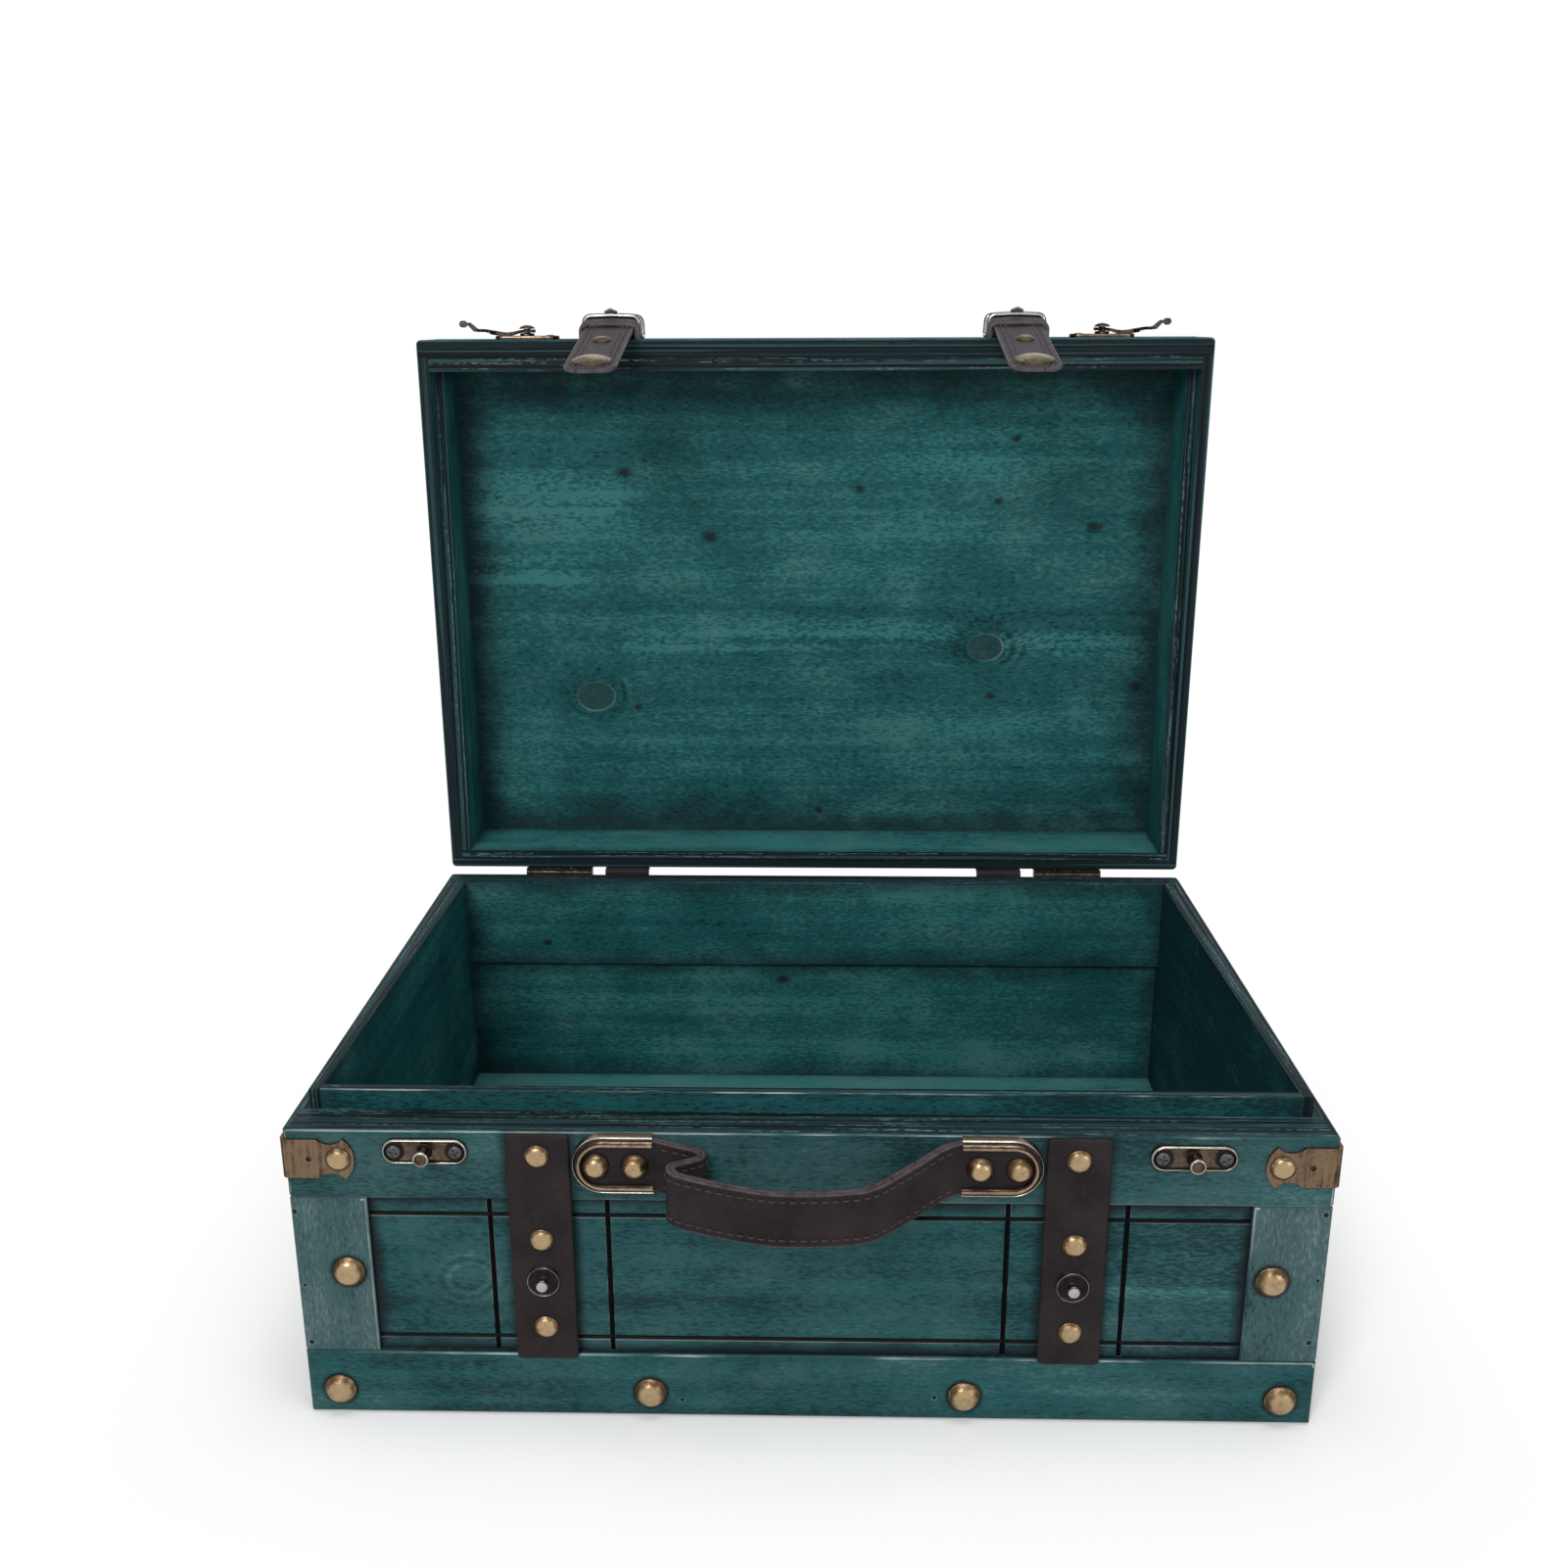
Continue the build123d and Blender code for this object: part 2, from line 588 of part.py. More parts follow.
def flap_rivet(x):
    place = front_at(x, RIVET_Z, FLAP_SEAT + FLAP_THICKNESS)
    return place * dome(RIVET_DIAMETER, SMALL_TACK_HEIGHT)


def snap_stud(x):
    """Dished flange and bulbed post on the base strap."""
    t = STUD_FLANGE_THICKNESS
    rim = STUD_FLANGE_DIAMETER / 2
    neck = STUD_NECK_DIAMETER / 2
    bulb = STUD_BULB_DIAMETER / 2
    bulb_foot = STUD_HEIGHT - STUD_BULB_LENGTH
    outline = Polyline(
        (0, 0), (rim, 0), (rim, t), (rim - t, t), (neck + t, t / 2), (neck, t / 2), (neck, bulb_foot),
        (bulb, bulb_foot + t / 2), (bulb, STUD_HEIGHT - t / 2), (neck, STUD_HEIGHT), (0, STUD_HEIGHT),
        close=True,
    )
    return front_at(x, STUD_Z, STRAP_THICKNESS) * revolve(Plane.XZ * make_face(outline), Axis.Z)


def buckle(x):
    """Two bowed bars over the leather, joined by side bars at their feet."""
    wire = BUCKLE_WIRE
    half = (BUCKLE_WIDTH - wire) / 2
    rise = FLAP_SEAT + FLAP_THICKNESS + BUCKLE_CLEARANCE + wire / 2
    bow = FilletPolyline((-half, 0), (-half, rise), (half, rise), (half, 0), radius=BUCKLE_BEND)
    bar = extrude(trace(bow, wire), wire)
    bar = chamfer(bar.edges().group_by(Axis.Z)[-1], wire / 6)
    frame = bar + Pos(0, 0, BUCKLE_LENGTH) * mirror(bar, Plane.XY)
    for side in (-1, 1):
        frame += Pos(side * half, wire / 2, BUCKLE_LENGTH / 2) * Box(wire, wire, BUCKLE_LENGTH)
    place = Plane(origin=(x, -HALF_DEPTH, BUCKLE_FOOT_Z + BUCKLE_LENGTH), x_dir=(1, 0, 0), z_dir=(0, 0, -1))
    return place * frame


def prong(x):
    """Flat prong that lies over both bars, its point lifted over the front one."""
    base = FLAP_SEAT + FLAP_THICKNESS + BUCKLE_CLEARANCE + BUCKLE_WIRE
    reach = BUCKLE_LENGTH
    outline = Polyline(
        (-PRONG_HEAD_WIDTH / 2, 0), (0, -PRONG_HEAD_WIDTH / 2), (PRONG_HEAD_WIDTH / 2, 0),
        (PRONG_WIDTH / 2, PRONG_HEAD_WIDTH / 2), (PRONG_WIDTH / 2, reach), (-PRONG_WIDTH / 2, reach),
        (-PRONG_WIDTH / 2, PRONG_HEAD_WIDTH / 2), close=True,
    )
    blade = extrude(make_face(outline), PRONG_THICKNESS)
    top = blade.faces().sort_by(Axis.Z)[-1]
    blade = chamfer(top.edges(), PRONG_THICKNESS / 3)
    return front_at(x, BUCKLE_FOOT_Z + BUCKLE_WIRE / 2, base) * blade


# Corner brackets

def bracket_wing():
    """Half of a bracket: local x runs from the corner inward, with hollow sides before its bulging end."""
    half = BRACKET_HEIGHT / 2
    neck = BRACKET_NECK_HEIGHT / 2
    flare = BRACKET_FLARE_HEIGHT / 2
    horn = BRACKET_LENGTH - BRACKET_END_BULGE
    shoulder = BRACKET_SHOULDER_LENGTH
    outline = (
        Polyline((shoulder, -half), (0, -half), (0, half), (shoulder, half))
        + ThreePointArc((shoulder, half), (BRACKET_NECK_LENGTH, neck), (horn, flare))
        + ThreePointArc((horn, flare), (BRACKET_LENGTH, 0), (horn, -flare))
        + ThreePointArc((horn, -flare), (BRACKET_NECK_LENGTH, -neck), (shoulder, -half))
    )
    hole = Pos(BRACKET_HOLE_FROM_CORNER, 0) * Circle(BRACKET_HOLE_DIAMETER / 2)
    return extrude(make_face(outline) - hole, BRACKET_THICKNESS)


def bracket():
    """The right bracket, folded round the front corner."""
    z = BASE_HEIGHT - BRACKET_DROP - BRACKET_HEIGHT / 2
    wing = bracket_wing()
    front = front_at(HALF_WIDTH, z) * wing.mirror(Plane.YZ)
    side = right_at(-HALF_DEPTH, z) * wing
    t = BRACKET_THICKNESS
    low = (HALF_WIDTH, -HALF_DEPTH - t, z - BRACKET_HEIGHT / 2)
    corner = slab(low, (HALF_WIDTH + t, -HALF_DEPTH, z + BRACKET_HEIGHT / 2))
    folded = front + side + corner
    upright = folded.edges().filter_by(Axis.Z)
    inner = upright.sort_by(lambda e: abs((e @ 0).X - HALF_WIDTH) + abs((e @ 0).Y + HALF_DEPTH))[0]
    folded = fillet(inner, BRACKET_FOLD_ROUND)
    outer = folded.edges().filter_by(Axis.Z).sort_by(lambda e: (e @ 0).X - (e @ 0).Y)[-1]
    return fillet(outer, BRACKET_FOLD_ROUND + t * 0.8)


def bracket_tacks():
    z = BASE_HEIGHT - BRACKET_DROP - BRACKET_HEIGHT / 2
    tack = dome(SMALL_TACK_DIAMETER, SMALL_TACK_HEIGHT)
    front = front_at(HALF_WIDTH - BRACKET_TACK_FROM_CORNER, z, BRACKET_THICKNESS) * tack
    side = right_at(-HALF_DEPTH + BRACKET_TACK_FROM_CORNER, z, BRACKET_THICKNESS) * tack
    return group([front, side, mirrored(front), mirrored(side)])


# Tacks

def rail_tacks():
    """Large tacks on the bottom rails and stiles, all round the base."""
    tack = dome(LARGE_TACK_DIAMETER, LARGE_TACK_HEIGHT)
    corner_x = HALF_WIDTH - CORNER_TACK_INSET
    corner_y = HALF_DEPTH - CORNER_TACK_INSET - RAIL_THICKNESS
    stile_x = HALF_WIDTH - STILE_TACK_INSET
    stile_y = CORE_HALF_DEPTH - STILE_WIDTH / 2
    low_z = BOTTOM_RAIL_WIDTH * LOWER_TACK_SHARE
    stile_z = LOWER_FIELD_Z + (UPPER_FIELD_Z - LOWER_FIELD_Z) * STILE_TACK_SHARE
    places = [front_at(x, low_z) for x in (-corner_x, -corner_x / 3, corner_x / 3, corner_x)]
    places += [front_at(x, stile_z) for x in (-stile_x, stile_x)]
    places += [back_at(x, low_z) for x in (-corner_x, corner_x)]
    for side_at in (left_at, right_at):
        places += [side_at(y, low_z) for y in (-corner_y, 0, corner_y)]
        places += [side_at(y, stile_z) for y in (-stile_y, stile_y)]
    return group([place * tack for place in places])


def base_strap_tacks():
    tack = dome(SMALL_TACK_DIAMETER, SMALL_TACK_HEIGHT)
    top = BASE_HEIGHT - STRAP_TACK_DROP
    middle = BASE_HEIGHT * STRAP_MIDDLE_TACK_SHARE
    foot = BASE_HEIGHT * STRAP_FOOT_TACK_SHARE
    places = []
    for x in (-STRAP_X, STRAP_X):
        places += [front_at(x, z, STRAP_THICKNESS) for z in (top, middle, foot)]
        places += [back_at(x, z, STRAP_THICKNESS) for z in (top - STRAP_TACK_DROP, foot)]
    return group([place * tack for place in places])


def lid_strap_tacks():
    tack = dome(SMALL_TACK_DIAMETER, SMALL_TACK_HEIGHT)
    y = HALF_DEPTH - STRAP_TACK_DROP
    places = []
    for x in (-STRAP_X, STRAP_X):
        places += [top_at(x, side * y, STRAP_THICKNESS) for side in (-1, 1)]
        places.append(back_at(x, LID_RIM + LID_HEIGHT / 2, STRAP_THICKNESS))
    return group([opened(place * tack) for place in places])


# Handle

def plate_shape(length, height):
    """D outline: straight end at local x = 0, round end at x = length."""
    half = height / 2
    straight = length - half
    outline = Polyline((straight, -half), (0, -half), (0, half), (straight, half))
    return make_face(outline + ThreePointArc((straight, half), (length, 0), (straight, -half)))


def handle_plate():
    """Right end cover: a pressed D frame over the end of the band, open at its inner end."""
    height = BAND_THICKNESS + PLATE_SKIN
    shell = extrude(plate_shape(PLATE_LENGTH, PLATE_HEIGHT), height)
    rim = shell.faces().sort_by(Axis.Z)[-1].edges().filter_by(lambda e: (e @ 0.5).X > CUT_OVERRUN)
    shell = fillet(rim, PLATE_EDGE_ROUND)
    gap = PLATE_SEAT_CLEARANCE
    pocket_height = BAND_WIDTH + 2 * gap
    pocket_length = PLATE_LENGTH - (PLATE_HEIGHT - pocket_height) / 2
    pocket = plate_shape(pocket_length + CUT_OVERRUN, pocket_height)
    shell -= Pos(-CUT_OVERRUN, 0, 0) * extrude(pocket, BAND_THICKNESS)
    window_height = PLATE_HEIGHT - 2 * PLATE_FRAME_WIDTH
    window = plate_shape(PLATE_LENGTH - PLATE_FRAME_WIDTH + CUT_OVERRUN, window_height)
    shell -= Pos(-CUT_OVERRUN, 0, 0) * extrude(window, height + CUT_OVERRUN)
    return front_at(PLATE_INNER_X, HANDLE_Z) * shell


def handle_tacks():
    tack = dome(HANDLE_TACK_DIAMETER, HANDLE_TACK_HEIGHT)
    first = PLATE_INNER_X + HANDLE_TACK_FROM_END
    places = [front_at(first + i * HANDLE_TACK_SPACING, HANDLE_Z, BAND_THICKNESS) * tack for i in range(2)]
    return group(places + [mirrored(place) for place in places])


def handle_band():
    """The leather band: a bent strip seen from above, trimmed by its sagging outline seen from the front."""
    seat = BAND_THICKNESS / 2
    half = BAND_WIDTH / 2
    end_x = PLATE_INNER_X + PLATE_LENGTH - PLATE_HEIGHT / 2
    path = FilletPolyline(
        (-end_x - half, -seat),
        (-PLATE_INNER_X * FOLD_TURN_SHARE, -seat),
        (-PLATE_INNER_X * FOLD_BACK_SHARE, -FOLD_BACK_REACH),
        (-PLATE_INNER_X * BOW_LEFT_SHARE, -BOW_REACH),
        (PLATE_INNER_X * BOW_RIGHT_SHARE, -BOW_RIGHT_REACH),
        (PLATE_INNER_X * BOW_LANDING_SHARE, -seat),
        (end_x + half, -seat),
        radius=[FOLD_TURN_RADIUS, FOLD_BACK_RADIUS, BOW_LEFT_RADIUS, BOW_RIGHT_RADIUS, BOW_LANDING_RADIUS],
    )
    path = Pos(0, -HALF_DEPTH) * path
    strip = trace(path, BAND_THICKNESS)
    foot = HANDLE_Z - half - BAND_SAG - CUT_OVERRUN
    tall = 2 * half + BAND_SAG + 2 * CUT_OVERRUN
    band = Pos(0, 0, foot) * extrude(strip, tall, dir=(0, 0, 1))
    low_z, high_z = HANDLE_Z - half, HANDLE_Z + half
    sagging = (
        Line((-end_x, high_z), (-PLATE_INNER_X, high_z))
        + ThreePointArc((-PLATE_INNER_X, high_z), (0, high_z - BAND_SAG), (PLATE_INNER_X, high_z))
        + Line((PLATE_INNER_X, high_z), (end_x, high_z))
        + ThreePointArc((end_x, high_z), (end_x + half, HANDLE_Z), (end_x, low_z))
        + Line((end_x, low_z), (PLATE_INNER_X, low_z))
        + ThreePointArc((PLATE_INNER_X, low_z), (0, low_z - BAND_SAG), (-PLATE_INNER_X, low_z))
        + Line((-PLATE_INNER_X, low_z), (-end_x, low_z))
        + ThreePointArc((-end_x, low_z), (-end_x - half, HANDLE_Z), (-end_x, high_z))
    )
    reach = 2 * BOW_REACH
    outline = Plane(origin=(0, -HALF_DEPTH, 0), x_dir=(1, 0, 0), z_dir=(0, -1, 0)) * make_face(sagging)
    band &= extrude(outline, reach, dir=(0, -1, 0))
    return band


# Hook latches

def latch_plate():
    """Oval plate with a raised rim."""
    oval = SlotOverall(LATCH_PLATE_LENGTH, LATCH_PLATE_HEIGHT)
    inner = SlotOverall(LATCH_PLATE_LENGTH - 2 * LATCH_RIM_WIDTH, LATCH_PLATE_HEIGHT - 2 * LATCH_RIM_WIDTH)
    plate = extrude(oval, LATCH_PLATE_THICKNESS + LATCH_RIM_HEIGHT)
    plate -= Pos(0, 0, LATCH_PLATE_THICKNESS) * extrude(inner, LATCH_RIM_HEIGHT)
    return plate


def catch_plate():
    """Right plate of the base with its headed post."""
    top = ARM_LIFT + ARM_THICKNESS + ARM_CLEARANCE
    stem_length = top - LATCH_PLATE_THICKNESS
    stem = Pos(0, 0, LATCH_PLATE_THICKNESS + stem_length / 2) * Cylinder(POST_DIAMETER / 2, stem_length)
    head = Cylinder(POST_HEAD_DIAMETER / 2, POST_HEAD_LENGTH)
    head = chamfer(head.edges().group_by(Axis.Z)[-1], POST_HEAD_BEVEL)
    head = Pos(0, 0, top + POST_HEAD_LENGTH / 2) * head
    return front_at(LATCH_X, CATCH_Z) * (latch_plate() + stem + head)


def pivot_plate():
    """Right plate of the lid with its boss, pivot pin and domed head."""
    top = ARM_LIFT + ARM_THICKNESS + ARM_CLEARANCE
    boss_length = PIVOT_BOSS_TOP - LATCH_PLATE_THICKNESS
    boss = Cylinder(PIVOT_BOSS_DIAMETER / 2, boss_length)
    boss = Pos(0, 0, LATCH_PLATE_THICKNESS + boss_length / 2) * boss
    pin = Pos(0, 0, (PIVOT_BOSS_TOP + top) / 2) * Cylinder(PIVOT_PIN_DIAMETER / 2, top - PIVOT_BOSS_TOP)
    head = Pos(0, 0, top) * dome(PIVOT_HEAD_DIAMETER, PIVOT_HEAD_HEIGHT)
    return front_at(LATCH_X, PIVOT_Z) * (latch_plate() + boss + pin + head)


def plate_screws(z):
    screw = dome(LATCH_SCREW_DIAMETER, LATCH_SCREW_HEIGHT)
    half = LATCH_SCREW_SPACING / 2
    right = [front_at(LATCH_X + side * half, z, LATCH_PLATE_THICKNESS) * screw for side in (-1, 1)]
    return group(right + [mirrored(piece) for piece in right])


def hook_arm():
    """Right hook: eye, arm, side-opening jaw for the post and a lifted finger end."""
    eye = Circle(ARM_EYE_DIAMETER / 2)
    shank = Pos(ARM_CATCH_LENGTH / 2, 0) * Rectangle(ARM_CATCH_LENGTH, ARM_WIDTH)
    jaw = Pos(ARM_CATCH_LENGTH, 0) * Circle(ARM_JAW_DIAMETER / 2)
    tongue_length = ARM_FINGER_START - ARM_CATCH_LENGTH
    tongue = Pos(ARM_CATCH_LENGTH + tongue_length / 2, 0) * Rectangle(tongue_length, ARM_FINGER_WIDTH)
    mouth = POST_DIAMETER + 2 * ARM_CLEARANCE
    slot = Pos(ARM_CATCH_LENGTH, 0) * Circle(mouth / 2)
    slot += Pos(ARM_CATCH_LENGTH, -ARM_JAW_DIAMETER / 2) * Rectangle(mouth, ARM_JAW_DIAMETER)
    bore = Circle(PIVOT_PIN_DIAMETER / 2 + PIN_CLEARANCE)
    flat = extrude(eye + shank + jaw + tongue - slot - bore, ARM_THICKNESS)
    t = ARM_THICKNESS
    rise = ARM_FINGER_RISE
    start = ARM_FINGER_START
    end = start + ARM_FINGER_LENGTH
    side_view = Polyline(
        (start - t, 0), (start, 0), (start + rise, rise), (end, rise), (end, rise + t),
        (start + rise - t / 2, rise + t), (start - t, t), close=True,
    )
    finger = extrude(Plane.XZ * make_face(side_view), ARM_FINGER_WIDTH / 2, both=True)
    curl = Pos(end, 0, rise + t / 2) * Rot(90, 0, 0) * Cylinder(ARM_CURL_DIAMETER / 2, ARM_FINGER_WIDTH)
    return front_at(LATCH_X, PIVOT_Z, ARM_LIFT) * (flat + finger + curl)


# Hinges

HALF_HINGE = HINGE_WIDTH / 2
MIDDLE_KNUCKLE = HINGE_WIDTH / 6
OUTER_SPANS = [(-HALF_HINGE, -MIDDLE_KNUCKLE - KNUCKLE_GAP), (MIDDLE_KNUCKLE + KNUCKLE_GAP, HALF_HINGE)]
MIDDLE_SPANS = [(-MIDDLE_KNUCKLE, MIDDLE_KNUCKLE)]


def leaf(z0, z1, spans):
    """A hinge leaf on the back face, joined by short tongues to its knuckles, bored for the pin."""
    plate = Rectangle(HINGE_WIDTH, z1 - z0)
    far = -1 if z1 <= HINGE_Z else 0
    corners = plate.vertices().group_by(Axis.Y)[0 if far else -1]
    plate = fillet(corners, LEAF_CORNER)
    piece = back_at(HINGE_X, (z0 + z1) / 2) * extrude(plate, LEAF_THICKNESS)
    near = z1 if far else z0
    for x0, x1 in spans:
        low = (HINGE_X + x0, HALF_DEPTH, min(near, HINGE_Z))
        piece += slab(low, (HINGE_X + x1, HALF_DEPTH + LEAF_THICKNESS, max(near, HINGE_Z)))
        middle = Pos(HINGE_X + (x0 + x1) / 2, HINGE_Y, HINGE_Z)
        piece += middle * Rot(0, 90, 0) * Cylinder(KNUCKLE_RADIUS, x1 - x0)
    bore = Cylinder(PIN_RADIUS + PIN_CLEARANCE, HINGE_WIDTH + CUT_OVERRUN)
    return piece - Pos(HINGE_X, HINGE_Y, HINGE_Z) * Rot(0, 90, 0) * bore


def base_leaf():
    near = HINGE_Z - KNUCKLE_RADIUS - KNUCKLE_GAP
    return leaf(near - LEAF_HEIGHT, near, OUTER_SPANS)


def lid_leaf():
    near = HINGE_Z + KNUCKLE_RADIUS + KNUCKLE_GAP
    return leaf(near, near + LEAF_HEIGHT, MIDDLE_SPANS)


def hinge_pin():
    pin = Cylinder(PIN_RADIUS, HINGE_WIDTH)
    return Pos(HINGE_X, HINGE_Y, HINGE_Z) * Rot(0, 90, 0) * pin


def hinge_screws(side):
    """Two screws in each leaf, below the hinge line for side -1 and above it for side 1."""
    screw = dome(HINGE_SCREW_DIAMETER, HINGE_SCREW_HEIGHT)
    z = HINGE_Z + side * HINGE_SCREW_DROP
    right = [back_at(HINGE_X + s * HINGE_SCREW_X, z, LEAF_THICKNESS) * screw for s in (-1, 1)]
    return group(right + [mirrored(piece) for piece in right])


def build():
    """Every node by name."""
    nodes = {
        "base_front_board": board_front(),
        "base_back_board": board_back(),
        "base_right_board": board_right(),
        "base_left_board": mirrored(board_right()),
        "base_floor_panel": floor_panel(),
        "base_front_liner": liner_front(),
        "base_back_liner": liner_back(),
        "base_right_liner": liner_right(),
        "base_left_liner": mirrored(liner_right()),
    }
    ends = "left right"
    nodes["base_front_top_rail"], nodes["base_front_bottom_rail"] = rails(front_at(0, 0), CASE_WIDTH, ends)
    nodes["base_front_stiles"] = group(stiles(front_at, HALF_WIDTH, ends.split()))
    back_stiles = stiles(back_at, HALF_WIDTH, ends.split()[::-1])
    nodes["base_back_frame"] = group([*rails(back_at(0, 0), CASE_WIDTH, ends), *back_stiles])
    nodes["base_right_frame"] = side_frame(right_at)
    nodes["base_left_frame"] = side_frame(left_at)

    nodes["base_front_straps"] = group([base_front_strap(x) for x in (-STRAP_X, STRAP_X)])
    nodes["base_back_straps"] = group([base_back_strap(x) for x in (-STRAP_X, STRAP_X)])
    nodes["rail_tacks"] = rail_tacks()
    nodes["base_strap_tacks"] = base_strap_tacks()
    nodes["snap_studs"] = group([snap_stud(x) for x in (-STRAP_X, STRAP_X)])
    nodes["right_corner_bracket"] = bracket()
    nodes["left_corner_bracket"] = mirrored(bracket())
    nodes["bracket_tacks"] = bracket_tacks()
    nodes["right_handle_plate"] = handle_plate()
    nodes["left_handle_plate"] = mirrored(handle_plate())
    nodes["handle_tacks"] = handle_tacks()
    nodes["handle_band"] = handle_band()
    nodes["right_catch_plate"] = catch_plate()
    nodes["left_catch_plate"] = mirrored(catch_plate())
    nodes["base_screws"] = group([plate_screws(CATCH_Z), hinge_screws(-1)])
    nodes["right_hinge_base_leaf"] = base_leaf()
    nodes["left_hinge_base_leaf"] = mirrored(base_leaf())
    nodes["hinge_pins"] = group([hinge_pin(), mirrored(hinge_pin())])

    lid = {
        "lid_front_board": lid_front(),
        "lid_back_board": lid_back(),
        "lid_right_board": lid_right(),
        "lid_left_board": mirrored(lid_right()),
        "lid_panel": lid_panel(),
        "lid_top_frame": lid_top_frame(),
        "lid_front_liner": lid_liner_front(),
        "lid_back_liner": lid_liner_back(),
        "lid_side_liners": group([lid_liner_right(), mirrored(lid_liner_right())]),
        "lid_straps": group([lid_strap(x) for x in (-STRAP_X, STRAP_X)]),
        "right_buckle": group([buckle(STRAP_X), prong(STRAP_X)]),
        "left_buckle": mirrored(group([buckle(STRAP_X), prong(STRAP_X)])),
        "right_pivot_plate": pivot_plate(),
        "left_pivot_plate": mirrored(pivot_plate()),
        "lid_screws": group([plate_screws(PIVOT_Z), hinge_screws(1)]),
        "right_hinge_lid_leaf": lid_leaf(),
        "left_hinge_lid_leaf": mirrored(lid_leaf()),
        "right_hook": hook_arm(),
        "left_hook": mirrored(hook_arm()),
    }
    nodes.update({name: opened(piece) for name, piece in lid.items()})
    nodes["lid_strap_tacks"] = lid_strap_tacks()
    for name, x in (("left", -STRAP_X), ("right", STRAP_X)):
        nodes[f"{name}_flap_root"] = opened(drooped(flap_root(x)))
        nodes[f"{name}_flap"] = opened(drooped(flap_tip(x)))
        nodes[f"{name}_snap_cap"] = opened(drooped(group([snap_cap(x), flap_rivet(x)])))
    return nodes


os.makedirs("parts", exist_ok=True)
for name, piece in build().items():
    export_step(piece, f"parts/{name}.step")
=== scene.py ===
import json
import math

import bmesh
import bpy
from mathutils import Matrix, Vector


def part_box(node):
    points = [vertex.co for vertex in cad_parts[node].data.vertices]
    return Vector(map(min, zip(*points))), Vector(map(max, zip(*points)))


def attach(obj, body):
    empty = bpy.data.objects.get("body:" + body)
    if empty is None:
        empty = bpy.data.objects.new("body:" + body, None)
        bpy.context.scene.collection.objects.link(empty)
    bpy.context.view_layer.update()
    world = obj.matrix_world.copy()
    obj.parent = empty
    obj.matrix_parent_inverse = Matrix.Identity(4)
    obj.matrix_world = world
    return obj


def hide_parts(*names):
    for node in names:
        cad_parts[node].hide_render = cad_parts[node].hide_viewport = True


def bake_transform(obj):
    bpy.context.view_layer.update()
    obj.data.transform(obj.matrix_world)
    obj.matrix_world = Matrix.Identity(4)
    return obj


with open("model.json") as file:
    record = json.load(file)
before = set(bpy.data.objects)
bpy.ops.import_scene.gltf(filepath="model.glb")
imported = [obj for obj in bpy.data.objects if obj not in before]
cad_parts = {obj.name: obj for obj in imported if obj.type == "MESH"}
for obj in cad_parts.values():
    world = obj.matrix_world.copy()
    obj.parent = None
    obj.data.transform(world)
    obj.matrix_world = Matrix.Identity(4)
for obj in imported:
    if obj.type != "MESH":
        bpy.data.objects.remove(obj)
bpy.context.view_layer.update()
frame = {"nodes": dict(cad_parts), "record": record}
MM = 0.001

# Places taken from the frame


def low(node):
    return Vector(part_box(node)[0])


def high(node):
    return Vector(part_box(node)[1])


def middle(node):
    return (low(node) + high(node)) / 2


FRONT_Y = low("base_front_top_rail").y
BACK_Y = high("base_back_frame").y
HALF_WIDTH = high("base_front_top_rail").x
BASE_TOP = high("base_front_top_rail").z
LOWER_FIELD = high("base_front_bottom_rail").z
UPPER_FIELD = low("base_front_top_rail").z
STRAP_X = middle("right_flap").x
HINGE = Vector([joint for joint in frame["record"]["behaviour"]["joints"] if joint["name"] == "lid_hinge"][0]["pos_m"])

# Colours, linear

TEALS = ((0.0022, 0.023, 0.028), (0.0080, 0.071, 0.076), (0.030, 0.148, 0.147))
GREYS = ((0.017, 0.037, 0.040), (0.050, 0.094, 0.098), (0.145, 0.188, 0.187))
CHARCOAL = (0.007, 0.010, 0.012)
EDGE_BLACK = (0.0020, 0.0030, 0.0035)
EDGE_DARK = (0.006, 0.013, 0.016)
EDGE_TEAL = (0.020, 0.055, 0.062)
EDGE_PALE = (0.120, 0.200, 0.205)
# Pale of rubbed arrises, also used for painted highlights on upward-facing groove lips
RUBBED_AND_HIGHLIGHT = (0.340, 0.390, 0.380)
KNOT_DARK = (0.010, 0.036, 0.040)
KNOT_MID = (0.018, 0.058, 0.060)
KNOT_RIM = (0.100, 0.180, 0.175)
LEATHER_DARK = (0.0070, 0.0045, 0.0050)
LEATHER_MID = (0.0215, 0.0150, 0.0160)
LEATHER_WORN = (0.070, 0.056, 0.064)
LEATHER_CUT = (0.090, 0.068, 0.074)
# Flap and keeper leather: the strap leather lightened as painted light, where it faces up to the lamps
FLAP_LIT_DARK = (0.020, 0.0160, 0.0200)
FLAP_LIT_MID = (0.040, 0.0325, 0.0385)
FLAP_LIT_WORN = (0.120, 0.104, 0.118)
THREAD = (0.042, 0.028, 0.036)
FLAP_LIT_THREAD = (0.055, 0.043, 0.052)
BRASS_BRIGHT = (0.430, 0.310, 0.175)
BRASS_DARK = (0.085, 0.052, 0.027)
BRONZE_BRIGHT = (0.300, 0.225, 0.155)
BRONZE_DARK = (0.030, 0.021, 0.016)
COPPER_BRIGHT = (0.210, 0.138, 0.086)
COPPER_DARK = (0.036, 0.023, 0.015)
NICKEL_BRIGHT = (0.430, 0.415, 0.430)
NICKEL_DARK = (0.045, 0.041, 0.046)
STEEL_BRIGHT = (0.100, 0.097, 0.100)
STEEL_DARK = (0.014, 0.014, 0.016)
FLOOR_COLOUR = (0.97, 0.97, 0.97)


def sum_with(operation):
    """A method that adds a math node for an operator."""
    return lambda value, other=0.0: value.math(operation, value, other)


